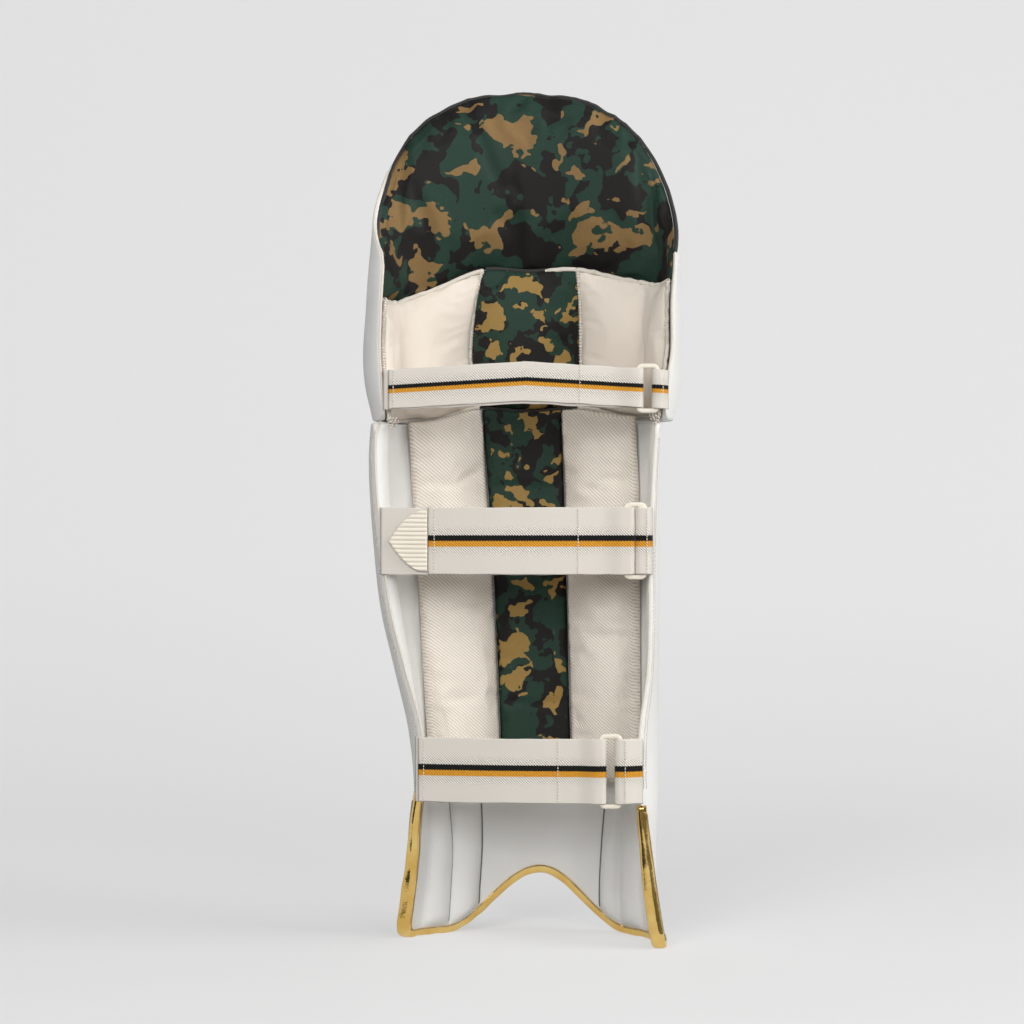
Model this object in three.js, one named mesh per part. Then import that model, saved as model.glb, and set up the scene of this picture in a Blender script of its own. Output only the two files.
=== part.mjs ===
// A cricket batting pad for one leg, standing upright on its instep.
// Millimetres, +Z up. -Y is the leg side with the straps, +Y the playing face, X = 0 the middle of the width.
// Every padded piece is laid out on a curved wall: a height, a share of the way round from the front
// middle (-1 is the left rear edge, 1 the right rear edge) and a depth below the outer face.
import * as THREE from 'three';

// Driving sizes
const PAD_TOP = 756;
const JOINT_HEIGHT = 458.5; // the thigh part and the shin part meet here
const WALL = 8; // facing and foam of both outer walls
const EDGE_WALL = 3; // the same, pinched in the edge seam
const PINCH = 16; // how far in from that seam the wall thins
const SEAM = 2.5; // thickness of a cushion at its seam
const SEAT_GAP = 1.2; // between a cushion and what it is sewn to
const PIECE_GAP = 1; // between two cushions side by side
const JOINT_GAP = 0.3; // between the thigh part and the shin part
const JOINT_CORNER = 12; // radius of the wings' corners where those parts meet
const WING_RADIUS = 30; // tightest curve of a tucked wing
const WEB = 1.5; // strap webbing thickness
const WEB_GAP = 0.4; // between layers of webbing

// Outer wall sections: three tangent arcs a side, the front, the corner and the wing, which tucks in
const SECTION = ['height', 'axis', 'half', 'frontY', 'frontR', 'cornerR', 'rearL', 'rearR', 'tuckL', 'tuckR'];
const SHIN_SECTIONS = [
  [0, 4, 120, 60, 175, 60, 5, -57, 0, 2],
  [40, 5, 114, 57, 175, 59, 2, -57, 0, 4],
  [80, 8.5, 109.5, 53, 175, 56, -8, -57, 1, 9.5],
  [130, 12, 108, 48, 180, 48, -28, -57, 6, 18],
  [187, 9.5, 110.5, 47, 185, 43, -41, -56, 11.5, 18],
  [240, 3.5, 116.5, 47, 190, 42, -44, -53, 9.8, 10.8],
  [293, -2.5, 122.5, 47, 195, 42, -46, -52, 8.5, 9],
  [346, -5.5, 125.5, 47, 195, 42, -46, -51, 7.5, 8.8],
  [425, -7.5, 128, 48, 195, 42, -47, -49, 5.5, 5.6],
  [JOINT_HEIGHT, -5.5, 128, 48, 195, 42, -47, -49, 4.5, 5],
];
const THIGH_SECTIONS = [
  [JOINT_HEIGHT, 0, 132, 48, 235, 44, -48, -49, 11, 9.5],
  [491, 0, 138.5, 49, 255, 44, -51, -51, 14.5, 12.5],
  [520, -0.5, 140, 49, 260, 44, -51, -51, 15, 9],
  [560, 0.5, 138.5, 48, 265, 44, -50, -50, 13.5, 8],
  [605, 2, 136.5, 45, 270, 44, -44, -44, 12, 4.5],
  [650, 1.5, 133, 42, 275, 43, -34, -34, 7, 2],
  [PAD_TOP, 1, 131, 34, 290, 40, -27, -27, 3, 1],
];

// Arched top of the thigh part: height of the edge at each share of the way round
const TOP_ARCH = [
  { share: 0, top: PAD_TOP },
  { share: 0.28, top: 750.5 },
  { share: 0.45, top: 739 },
  { share: 0.6, top: 720 },
  { share: 0.7, top: 699 },
  { share: 0.8, top: 670 },
  { share: 0.88, top: 644 },
  { share: 1, top: 606 },
];

// Instep: an arch over the shoe between two rounded feet
const INSTEP = { archX: 14, archHalf: 87, archRise: 53, footRadius: 13, bindTopL: 134, bindTopR: 125 };
const BINDING = { reach: 4.8, skin: 1.2, clear: 1 };
const GRIPPED = 9; // height above the instep's edge that stays free of rolls, for the binding

// Vertical rolls sewn into the playing face of the shin, and the ones that show inside the instep
const FACE_ROLLS = { count: 7, share: 0.16, height: 7, taper: 26 };
const INSIDE_ROLLS = { height: 7, top: 127, fade: 12, at: 65 };
const INSIDE_ROLL_EDGES = [
  { from: -88, to: -64 },
  { from: -63, to: -38 },
  { from: 71, to: 88 },
  { from: 88, to: 104 },
];
const WING_ROLL = { share: 0.2, left: 9, right: 1.5, from: 170, full: 300 };
const WING_SEAM = { from: 20, full: 138 }; // where the wings' edges thin into their seams

// Shin cushions: where their edges run, seen from the leg side
const SHIN_CUSHIONS = [
  { height: 136, outerL: -84.7, innerL: -19.2, innerR: 44.6, outerR: 107.2 },
  { height: 240, outerL: -90.5, innerL: -23, innerR: 42, outerR: 106.5 },
  { height: 325, outerL: -95, innerL: -27, innerR: 40, outerR: 106 },
  { height: 400, outerL: -100, innerL: -32, innerR: 38, outerR: 105 },
  { height: 472, outerL: -106, innerL: -38, innerR: 36, outerR: 104 },
];
const SHIN_CUSHION = { bottom: 136, bolster: 24, strip: 9, overJoint: 3 };

// Knee cushions: their upper and lower seams, seen from the leg side
const KNEE_SEAMS = [
  { x: -122, top: 564, bottom: 460 },
  { x: -85, top: 578, bottom: 463 },
  { x: -42, top: 595, bottom: 473 },
  { x: 4, top: 594, bottom: 471 },
  { x: 51, top: 596, bottom: 473 },
  { x: 92, top: 587, bottom: 467 },
  { x: 132, top: 579, bottom: 464 },
];
const KNEE = { blockL: -41, blockR: 51, bowL: -6, bowR: 2, at: 525, bolster: 24, block: 27 };
const TOP_CUSHION = { thick: 15 };
const INSET_SHARE = 0.992; // how far towards the rear edges the thigh cushions reach

// Horizontal rolls across the playing face of the knee
const KNEE_ROLLS = { count: 3, bottom: 464, pitch: 38, share: 0.66, height: 19 };

// Straps: each runs from the left wing to a loop on the right and folds back to the left
const STRAPS = [
  { at: 485, width: 34, left: -121.5, over: -117, loop: 107.8, slot: 12, right: 126, bow: 8, peak: 7 },
  { at: 354, width: 58, left: -124, over: -82.5, loop: 97, slot: 5, right: 112.5, bow: 9, peak: 0 },
  { at: 155, width: 56, left: -94, over: -91.5, loop: 75.5, slot: 12, right: 103.5, bow: 7, peak: 0 },
];
const STRAP_NAMES = ['knee_strap', 'calf_strap', 'ankle_strap'];
const LOOP = { width: 21, turned: 3.2, thick: 3, overhang: 4, corner: 6 };
const PULL = { tipX: -117, height: 53, thick: 2.6, rib: 0.9, ribs: 13 };

// Finishes
const FINISH = {
  facing: new THREE.MeshStandardMaterial({ name: 'facing', color: 0xe4e3df, roughness: 0.45 }),
  cotton: new THREE.MeshStandardMaterial({ name: 'cotton', color: 0xeae3d9, roughness: 0.85 }),
  camouflage: new THREE.MeshStandardMaterial({ name: 'camouflage', color: 0x27473a, roughness: 0.7 }),
  mesh: new THREE.MeshStandardMaterial({ name: 'mesh', color: 0xe9e1d6, roughness: 0.9 }),
  webbing: new THREE.MeshStandardMaterial({ name: 'webbing', color: 0xe8e2db, roughness: 0.85 }),
  plastic: new THREE.MeshStandardMaterial({ name: 'plastic', color: 0xeee6d8, roughness: 0.4 }),
  gold: new THREE.MeshStandardMaterial({ name: 'gold', color: 0xd9a441, roughness: 0.15, metalness: 1 }),
};

const lerp = THREE.MathUtils.lerp;
const smooth = THREE.MathUtils.smoothstep;

// The rows of a table as one smooth function of its first column
function curveOf(rows) {
  const [key, ...columns] = Object.keys(rows[0]);
  const values = rows.flatMap((row) => columns.map((column) => row[column]));
  const curve = new THREE.CubicInterpolant(rows.map((row) => row[key]), values, columns.length);
  return (at) => {
    const found = curve.evaluate(at);
    return Object.fromEntries(columns.map((column, i) => [column, found[i]]));
  };
}

// A wall from its section table
function wallOf(rows) {
  const named = rows.map((row) => Object.fromEntries(row.map((value, i) => [SECTION[i], value])));
  const sectionAt = curveOf(named);

  function sideAt(height, side) {
    const { axis, half, frontY, frontR, cornerR, rearL, rearR, tuckL, tuckR } = sectionAt(height);
    const rear = side < 0 ? rearL : rearR;
    const frontTurn = Math.asin((half - cornerR) / (frontR - cornerR));
    const cornerX = (frontR - cornerR) * Math.sin(frontTurn);
    const cornerY = frontY - frontR + (frontR - cornerR) * Math.cos(frontTurn);
    const arcs = [{ x: 0, y: frontY - frontR, radius: frontR, from: 0, turn: frontTurn }];
    const reach = cornerY - rear;
    if (reach <= 0.5) {
      const lastTurn = Math.acos(THREE.MathUtils.clamp(-reach / cornerR, 0, 1));
      arcs.push({ x: cornerX, y: cornerY, radius: cornerR, from: frontTurn, turn: lastTurn - frontTurn });
    } else {
      const mostTuck = reach ** 2 / (2 * WING_RADIUS);
      const tuck = THREE.MathUtils.clamp(side < 0 ? tuckL : tuckR, 0.01 * reach, mostTuck);
      const wingTurn = 2 * Math.atan(tuck / reach);
      const wingR = reach / Math.sin(wingTurn);
      arcs.push({ x: cornerX, y: cornerY, radius: cornerR, from: frontTurn, turn: Math.PI / 2 - frontTurn });
      const wingX = cornerX + cornerR - wingR;
      arcs.push({ x: wingX, y: cornerY, radius: wingR, from: Math.PI / 2, turn: wingTurn });
    }
    const length = arcs.reduce((sum, arc) => sum + arc.radius * arc.turn, 0);
    return { axis, arcs, length };
  }

  function at(height, share, depth) {
    const side = share < 0 ? -1 : 1;
    const { axis, arcs, length } = sideAt(height, side);
    let left = Math.abs(share) * length;
    let arc = arcs[0];
    for (arc of arcs) {
      const arcLength = arc.radius * arc.turn;
      if (left <= arcLength || arc === arcs.at(-1)) break;
      left -= arcLength;
    }
    const turn = arc.from + left / arc.radius;
    const radius = arc.radius - depth;
    return new THREE.Vector3(
      axis + side * (arc.x + radius * Math.sin(turn)),
      arc.y + radius * Math.cos(turn),
      height,
    );
  }

  // The share whose point lies at x, on the side of the axis that faces the leg
  function shareAt(height, x, depth) {
    const side = x < sectionAt(height).axis ? -1 : 1;
    let [low, high] = [0, 0.8];
    for (let step = 0; step < 30; step++) {
      const middle = (low + high) / 2;
      if (side * (at(height, side * middle, depth).x - x) < 0) low = middle;
      else high = middle;
    }
    return (side * (low + high)) / 2;
  }

  return { at, shareAt, lengthAt: (height, share) => sideAt(height, share < 0 ? -1 : 1).length };
}

const shinWall = wallOf(SHIN_SECTIONS);
const thighWall = wallOf(THIGH_SECTIONS);
const topArchAt = curveOf(TOP_ARCH);
const shinCushionAt = curveOf(SHIN_CUSHIONS);
const kneeSeamAt = curveOf(KNEE_SEAMS);

// A grid of points: rows[v][u] for shares u and v from 0 to 1
function gridOf(across, up, pointAt) {
  return up.map((v) => across.map((u) => pointAt(u, v)));
}

function steps(count) {
  return Array.from({ length: count + 1 }, (_, i) => i / count);
}

// A closed body between two grids of the same size
function slab(outer, inner) {
  const rows = outer.length;
  const columns = outer[0].length;
  const points = [...outer.flat(), ...inner.flat()];
  const id = (layer, row, column) => layer * rows * columns + row * columns + column;
  const index = [];
  const quad = (a, b, c, d) => index.push(a, b, c, a, c, d);
  for (let r = 0; r + 1 < rows; r++) {
    for (let c = 0; c + 1 < columns; c++) {
      quad(id(0, r, c), id(0, r, c + 1), id(0, r + 1, c + 1), id(0, r + 1, c));
      quad(id(1, r, c), id(1, r + 1, c), id(1, r + 1, c + 1), id(1, r, c + 1));
    }
    quad(id(0, r, 0), id(0, r + 1, 0), id(1, r + 1, 0), id(1, r, 0));
    quad(id(0, r + 1, columns - 1), id(0, r, columns - 1), id(1, r, columns - 1), id(1, r + 1, columns - 1));
  }
  for (let c = 0; c + 1 < columns; c++) {
    quad(id(0, 0, c + 1), id(0, 0, c), id(1, 0, c), id(1, 0, c + 1));
    quad(id(0, rows - 1, c), id(0, rows - 1, c + 1), id(1, rows - 1, c + 1), id(1, rows - 1, c));
  }
  return facingOut(new THREE.BufferGeometry().setFromPoints(points).setIndex(index));
}

// A closed body through rings of points, capped at both ends
function loft(rings) {
  const size = rings[0].length;
  const index = [];
  for (let r = 0; r + 1 < rings.length; r++) {
    for (let i = 0; i < size; i++) {
      const j = (i + 1) % size;
      index.push(r * size + i, r * size + j, (r + 1) * size + j);
      index.push(r * size + i, (r + 1) * size + j, (r + 1) * size + i);
    }
  }
  return { points: rings.flat(), index };
}

// The same geometry with its faces turned outwards
function facingOut(geometry) {
  const position = geometry.getAttribute('position');
  const index = geometry.getIndex().array;
  const corner = (i) => new THREE.Vector3().fromBufferAttribute(position, index[i]);
  let volume = 0;
  for (let i = 0; i < index.length; i += 3) volume += corner(i).dot(corner(i + 1).cross(corner(i + 2)));
  if (volume < 0) {
    for (let i = 0; i < index.length; i += 3) [index[i + 1], index[i + 2]] = [index[i + 2], index[i + 1]];
  }
  return geometry;
}

// Rounded crown across a sewn roll or cushion, 0 at its seams and 1 in the middle
function crown(t, power = 0.5) {
  return t <= 0 || t >= 1 ? 0 : Math.sin(Math.PI * t) ** power;
}

const pad = new THREE.Group();
pad.name = 'batting_pad';

function add(name, geometry, material, parent = pad) {
  const mesh = new THREE.Mesh(geometry, material);
  mesh.name = name;
  parent.add(mesh);
  return mesh;
}

// Shin part

// Height of the shin wall's lower edge: flat feet, rounded corners and the arch
function lowerEdgeAt(share) {
  const fromEdge = (1 - Math.abs(share)) * shinWall.lengthAt(0, share);
  const inCorner = Math.max(0, INSTEP.footRadius - fromEdge);
  const foot = INSTEP.footRadius - Math.sqrt(INSTEP.footRadius ** 2 - inCorner ** 2);
  const fromArch = Math.abs(shinWall.at(0, share, WALL / 2).x - INSTEP.archX) / INSTEP.archHalf;
  const arch = fromArch < 1 ? (INSTEP.archRise / 2) * (1 + Math.cos(Math.PI * fromArch)) : 0;
  return foot + arch + BINDING.skin + BINDING.clear;
}

// Heights of the points up the instep, from its lower edge to just above the binding's ends
function instepHeights(share) {
  const low = lowerEdgeAt(share);
  const free = low + GRIPPED + 16;
  return [low, low + GRIPPED, ...steps(4).map((t) => lerp(free, INSTEP.bindTopL + 4, t))];
}

function faceRoll(share) {
  const at = share / FACE_ROLLS.share + FACE_ROLLS.count / 2;
  return at < 0 || at > FACE_ROLLS.count ? 0 : crown(at - Math.floor(at)) * FACE_ROLLS.height;
}

const insideRolls = INSIDE_ROLL_EDGES.map(({ from, to }) => ({
  from: shinWall.shareAt(INSIDE_ROLLS.at, from, WALL),
  to: shinWall.shareAt(INSIDE_ROLLS.at, to, WALL),
}));

// Wall thickness that thins towards an edge seam
function pinched(fromEdge) {
  return lerp(EDGE_WALL, WALL, THREE.MathUtils.clamp(fromEdge / PINCH, 0, 1));
}

// Thickness of the shin wall without its rolls: the wings' edges thin upwards into their seams
function shinWallAt(share, height) {
  const fromEdge = (1 - Math.abs(share)) * shinWall.lengthAt(height, share);
  return lerp(WALL, pinched(fromEdge), smooth(height, WING_SEAM.from, WING_SEAM.full));
}

// The same with its rolls, which end where the binding grips the edge
function shinInside(share, height, clearOfEdge) {
  const wall = shinWallAt(share, height);
  const wingHeight = share < 0 ? WING_ROLL.left : WING_ROLL.right;
  const wing = crown((1 - Math.abs(share)) / WING_ROLL.share) * wingHeight;
  const wingFade = smooth(height, WING_ROLL.from, WING_ROLL.full);
  const rolls = insideRolls.map(({ from, to }) => crown((share - from) / (to - from)));
  const rollFade = (1 - smooth(height, INSIDE_ROLLS.top - INSIDE_ROLLS.fade, INSIDE_ROLLS.top)) * clearOfEdge;
  return wall + wing * wingFade + Math.max(...rolls) * INSIDE_ROLLS.height * rollFade;
}

// How far a wing's corner is rounded off at the joint
function jointCorner(wall, share) {
  const fromEdge = (1 - Math.abs(share)) * wall.lengthAt(JOINT_HEIGHT, share);
  const inCorner = Math.max(0, JOINT_CORNER - fromEdge);
  return JOINT_CORNER - Math.sqrt(JOINT_CORNER ** 2 - inCorner ** 2);
}

function shinShell() {
  const shares = steps(50).map((u) => lerp(-1, 1, u));
  const levels = [152, 176, 225, 280, 335, 390, 432];
  const topAt = (share) => JOINT_HEIGHT - JOINT_GAP / 2 - jointCorner(shinWall, share);
  const heightsAt = (share) => [...instepHeights(share), ...levels, topAt(share)];
  const place = (depthAt) => (share, row) => {
    const height = heightsAt(share)[row];
    const clearOfEdge = smooth(height - lowerEdgeAt(share), GRIPPED, GRIPPED + 15);
    return shinWall.at(height, share, depthAt(share, height, clearOfEdge));
  };
  const rows = heightsAt(0).map((_, row) => row);
  const taper = (height) => smooth(JOINT_HEIGHT - height, 0, FACE_ROLLS.taper) ** 0.5;
  const rolled = (share, height, clear) => -faceRoll(share) * clear * taper(height);
  const outer = gridOf(shares, rows, place(rolled));
  const inner = gridOf(shares, rows, place(shinInside));
  add('shin_shell', slab(outer, inner), FINISH.facing);
}

// The edge that the binding grips, from the left wing down, over the instep and up the right wing
function boundEdge() {
  const edge = [];
  const wingHeights = (top) => [top, ...instepHeights(1).slice(1, -1).reverse()];
  const corner = INSTEP.footRadius / shinWall.lengthAt(0, -1);
  for (const height of wingHeights(INSTEP.bindTopL)) edge.push({ share: -1, height });
  for (const t of [0.96, 0.75, 0.5, 0.25]) {
    const share = -1 + corner * (1 - Math.sin((Math.PI / 2) * t));
    edge.push({ share, height: lowerEdgeAt(share) });
  }
  const inset = 1 - corner;
  for (const u of steps(40)) {
    const share = lerp(-inset, inset, u);
    edge.push({ share, height: lowerEdgeAt(share) });
  }
  for (const t of [0.25, 0.5, 0.75, 0.96]) {
    const share = 1 - corner * (1 - Math.sin((Math.PI / 2) * t));
    edge.push({ share, height: lowerEdgeAt(share) });
  }
  for (const height of wingHeights(INSTEP.bindTopR).reverse()) edge.push({ share: 1, height });
  return edge;
}

function instepBinding() {
  const edge = boundEdge();
  const { reach, skin, clear } = BINDING;
  const out = clear + skin;
  // The U section: how far in from the edge, and how deep below the outer face
  const sectionOf = (edgeWall, reachWall) => [
    [reach, -out], [-out, -out], [-out, edgeWall + out], [reach, reachWall + out],
    [reach, reachWall + clear], [-clear, edgeWall + clear], [-clear, -clear], [reach, -clear],
  ];
  const rings = edge.map(({ share, height }, i) => {
    const before = edge[Math.max(i - 1, 0)];
    const after = edge[Math.min(i + 1, edge.length - 1)];
    const length = shinWall.lengthAt(height, share);
    const along = new THREE.Vector2((after.share - before.share) * length, after.height - before.height);
    along.normalize();
    const heightAt = (inward) => Math.max(height + along.x * inward, 0);
    const shareAt = (inward) => share - (along.y * inward) / length;
    const [edgeWall, reachWall] = [0, reach].map((inward) => shinWallAt(shareAt(inward), heightAt(inward)));
    return sectionOf(edgeWall, reachWall).map(([inward, depth]) =>
      shinWall.at(heightAt(inward), shareAt(inward), depth));
  });
  const { points, index } = loft(rings);
  const last = points.length - rings[0].length;
  const caps = [[0, 1, 6, 7], [1, 2, 5, 6], [2, 3, 4, 5]];
  for (const [a, b, c, d] of caps) {
    index.push(a, c, b, a, d, c);
    index.push(last + a, last + b, last + c, last + a, last + c, last + d);
  }
  const geometry = new THREE.BufferGeometry().setFromPoints(points).setIndex(index);
  add('instep_binding', facingOut(geometry), FINISH.gold);
}

// One cushion inside the shin wall, between two edges of the cushion table
function shinCushion(name, edges, thick, material, power) {
  const { bottom, overJoint } = SHIN_CUSHION;
  const last = SHIN_CUSHIONS.at(-1);
  const place = (depthAt) => (u, v) => {
    const topX = lerp(last[edges[0].column], last[edges[1].column], u);
    const height = lerp(bottom, kneeSeamAt(topX).bottom - 2 * PIECE_GAP, v);
    const row = shinCushionAt(height);
    const back = WALL + SEAT_GAP + overJoint * smooth(height, JOINT_HEIGHT - 60, JOINT_HEIGHT);
    const [from, to] = edges.map(({ column, inset }) => shinWall.shareAt(height, row[column] + inset, WALL));
    return shinWall.at(height, lerp(from, to, u), back + depthAt(u, v));
  };
  const padding = (u, v) => SEAM + (thick - SEAM) * crown(u, power) * crown(v, 0.25);
  const across = [0, 0.05, 0.18, 0.35, 0.5, 0.65, 0.82, 0.95, 1];
  const up = [0, 0.02, 0.07, 0.18, 0.34, 0.5, 0.66, 0.82, 0.93, 0.98, 1];
  add(name, slab(gridOf(across, up, place(() => 0)), gridOf(across, up, place(padding))), material);
}

function shinCushions() {
  const half = PIECE_GAP / 2;
  const { bolster, strip } = SHIN_CUSHION;
  const outerL = { column: 'outerL', inset: 0 };
  const outerR = { column: 'outerR', inset: 0 };
  shinCushion('shin_bolster_left', [outerL, { column: 'innerL', inset: -half }], bolster, FINISH.mesh, 0.35);
  shinCushion('shin_strip', [{ column: 'innerL', inset: half }, { column: 'innerR', inset: -half }], strip,
    FINISH.camouflage, 0.3);
  shinCushion('shin_bolster_right', [{ column: 'innerR', inset: half }, outerR], bolster, FINISH.mesh, 0.35);
}

// Thigh and knee part

// Thickness of the thigh wall, pinched into the edge seam
function thighInside(share, height) {
  const fromEdge = (1 - Math.abs(share)) * thighWall.lengthAt(height, share);
  const fromTop = topArchAt(Math.abs(share)).top - height;
  return pinched(Math.min(fromEdge, fromTop));
}

// Shares of the way round for the thigh pieces, closer together towards the rear edges
const thighShares = steps(34).map((u) => Math.sin((Math.PI / 2) * lerp(-1, 1, u)));

function thighShell() {
  const rises = [0, 0.1, 0.25, 0.4, 0.55, 0.7, 0.85, 1];
  const rows = [...rises.map((rise) => ({ rise, pinch: 0 })), { rise: 1, pinch: 0.5 }, { rise: 1, pinch: 1 }];
  const place = (depthAt) => (share, { rise, pinch }) => {
    const { top } = topArchAt(Math.abs(share));
    const bottom = JOINT_HEIGHT + JOINT_GAP / 2 + jointCorner(thighWall, share);
    const height = lerp(bottom, top - PINCH, rise) + pinch * PINCH;
    return thighWall.at(height, share, depthAt(share, height));
  };
  const outer = gridOf(thighShares, rows, place(() => 0));
  const inner = gridOf(thighShares, rows, place(thighInside));
  add('thigh_shell', slab(outer, inner), FINISH.facing);
}

function seamX(share) {
  return thighWall.at(KNEE.at, share, WALL).x;
}

function topCushion() {
  const shares = thighShares.map((share) => share * INSET_SHARE);
  const rises = [0, 0.06, 0.2, 0.45, 0.75, 1];
  const rows = [...rises.map((rise) => ({ rise, pinch: 0 })), { rise: 1, pinch: 0.5 }, { rise: 1, pinch: 1 }];
  const place = (depthAt) => (share, { rise, pinch }) => {
    const low = kneeSeamAt(seamX(share)).top + 1.5 * PIECE_GAP;
    const high = topArchAt(Math.abs(share)).top;
    const height = lerp(low, high - PINCH, rise) + pinch * (PINCH - PIECE_GAP);
    const back = thighInside(share, height) + SEAT_GAP;
    return thighWall.at(height, share, back + depthAt(share, (height - low) / (high - PIECE_GAP - low)));
  };
  const padding = (share, rise) => {
    const across = crown((share + 1) / 2, 0.5);
    return SEAM + (TOP_CUSHION.thick - SEAM) * across * crown(rise, 0.4);
  };
  add('top_cushion', slab(gridOf(shares, rows, place(() => 0)), gridOf(shares, rows, place(padding))),
    FINISH.camouflage);
}

function kneeCushion(name, fromAt, toAt, thick, material) {
  const across = [0, 0.05, 0.16, 0.33, 0.5, 0.67, 0.84, 0.95, 1];
  const up = [0, 0.06, 0.18, 0.36, 0.55, 0.74, 0.88, 0.96, 1];
  const place = (depthAt) => (u, v) => {
    const share = lerp(fromAt(v), toAt(v), u);
    const { top, bottom } = kneeSeamAt(seamX(share));
    const height = lerp(bottom, top, v);
    return thighWall.at(height, share, thighInside(share, height) + SEAT_GAP + depthAt(u, v));
  };
  const padding = (u, v) => SEAM + (thick - SEAM) * crown(u, 0.4) * crown(v, 0.4);
  add(name, slab(gridOf(across, up, place(() => 0)), gridOf(across, up, place(padding))), material);
}

function kneeCushions() {
  const half = PIECE_GAP / 2 / thighWall.lengthAt(KNEE.at, 1);
  const bowed = (x, bow, gap) => (v) => thighWall.shareAt(KNEE.at, x + bow * crown(v), WALL) + gap * half;
  const edge = (share) => () => share;
  kneeCushion('knee_bolster_left', edge(-INSET_SHARE), bowed(KNEE.blockL, KNEE.bowL, -1), KNEE.bolster,
    FINISH.cotton);
  kneeCushion('knee_block', bowed(KNEE.blockL, KNEE.bowL, 1), bowed(KNEE.blockR, KNEE.bowR, -1), KNEE.block,
    FINISH.camouflage);
  kneeCushion('knee_bolster_right', bowed(KNEE.blockR, KNEE.bowR, 1), edge(INSET_SHARE), KNEE.bolster,
    FINISH.cotton);
}

function kneeRolls() {
  const across = steps(14);
  const up = [0, 0.08, 0.28, 0.5, 0.72, 0.92, 1];
  for (let roll = 0; roll < KNEE_ROLLS.count; roll++) {
    const bottom = KNEE_ROLLS.bottom + roll * KNEE_ROLLS.pitch;
    const place = (depthAt) => (u, v) => {
      const share = lerp(-KNEE_ROLLS.share, KNEE_ROLLS.share, u);
      const height = bottom + v * (KNEE_ROLLS.pitch - PIECE_GAP);
      return thighWall.at(height, share, -SEAT_GAP - depthAt(u, v));
    };
    const padding = (u, v) => SEAM + (KNEE_ROLLS.height - SEAM) * crown(v) * crown(u, 0.3);
    add(`knee_roll_${roll + 1}`, slab(gridOf(across, up, place(padding)), gridOf(across, up, place(() => 0))),
      FINISH.facing);
  }
}

// Straps

// A ribbon of webbing along a path in plan, its middle at heightAt(x)
function ribbon(path, width, heightAt) {
  const normals = path.map((point, i) => {
    const along = path[Math.min(i + 1, path.length - 1)].clone().sub(path[Math.max(i - 1, 0)]).normalize();
    return new THREE.Vector2(-along.y, along.x).multiplyScalar(WEB / 2);
  });
  const face = (sign) => [-0.5, 0.5].map((rise) => path.map((point, i) => new THREE.Vector3(
    point.x + sign * normals[i].x,
    point.y + sign * normals[i].y,
    heightAt(point.x) + rise * width,
  )));
  return slab(face(1), face(-1));
}

// Half a turn of webbing around the edge of an upright bar: dir is 1 when the bar lies to the left of the turn
const TURN_RADIUS = Math.hypot(LOOP.thick, LOOP.turned) / 2 + WEB_GAP + WEB / 2;
function turnAround(x, y, dir) {
  return steps(6).map((t) => {
    const angle = lerp(Math.PI / 2, -Math.PI / 2, t);
    return new THREE.Vector2(x + dir * TURN_RADIUS * Math.cos(angle), y + TURN_RADIUS * Math.sin(angle));
  });
}

// Y of the wings' rear edges at a strap, and of the strap's inner layer, which bows out between them
function strapLine({ at, width, left, right, bow }) {
  const rest = WEB / 2 + WEB_GAP;
  const wall = at > JOINT_HEIGHT ? thighWall : shinWall;
  const rearY = (share) => Math.min(...steps(4).map((t) => wall.at(at + (t - 0.5) * width, share, 0).y));
  const leftY = rearY(-1) - rest;
  const rightY = rearY(1) - rest;
  return (x) => {
    const t = THREE.MathUtils.clamp((x - left) / (right - left), 0, 1);
    return lerp(leftY, rightY, t) - bow * Math.sin(Math.PI * t);
  };
}

function strap(name, spec) {
  const { at, width, left, over, loop, slot, right, peak } = spec;
  const lineAt = strapLine(spec);
  const heightAt = (x) => at + peak * (1 - Math.abs((2 * x - left - right) / (right - left)));
  const layer = WEB + WEB_GAP;
  const barOffset = (slot + LOOP.turned) / 2;
  const loopY = lineAt(loop) - TURN_RADIUS;
  const clear = LOOP.width / 2 + WEB_GAP;
  const spread = 18;

  // Inner layer to the loop's left bar, round it and back over itself
  const barX = loop - barOffset;
  const open = (x) => smooth(x, loop - clear - spread, loop - clear);
  const inner = steps(12).map((t) => {
    const x = lerp(left, barX, t);
    return new THREE.Vector2(x, lerp(lineAt(x), loopY + TURN_RADIUS, open(x)));
  });
  const outer = steps(12).map((t) => {
    const x = lerp(barX, over, t);
    return new THREE.Vector2(x, lerp(lineAt(x) - layer, loopY - TURN_RADIUS, open(x)));
  });
  const path = [...inner.slice(0, -1), ...turnAround(barX, loopY, 1), ...outer.slice(1)];
  add(name, ribbon(path, width, heightAt), FINISH.webbing);

  // Short tab from the right wing round the loop's right bar
  const tabX = loop + barOffset;
  const tabOpen = (x) => 1 - smooth(x, loop + clear, Math.min(loop + clear + spread, right));
  const tabIn = steps(5).map((t) => {
    const x = lerp(right, tabX, t);
    return new THREE.Vector2(x, lerp(lineAt(x), loopY + TURN_RADIUS, tabOpen(x)));
  });
  const tabOut = steps(5).map((t) => {
    const x = lerp(tabX, right, t);
    return new THREE.Vector2(x, lerp(lineAt(x) - layer, loopY - TURN_RADIUS, tabOpen(x)));
  });
  const tabPath = [...tabIn.slice(0, -1), ...turnAround(tabX, loopY, -1), ...tabOut.slice(1)];
  add(`${name}_tab`, ribbon(tabPath, width, heightAt), FINISH.webbing);

  strapLoop(`${name}_loop`, spec, loopY, heightAt(loop));
  return { lineAt, layer };
}

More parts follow.
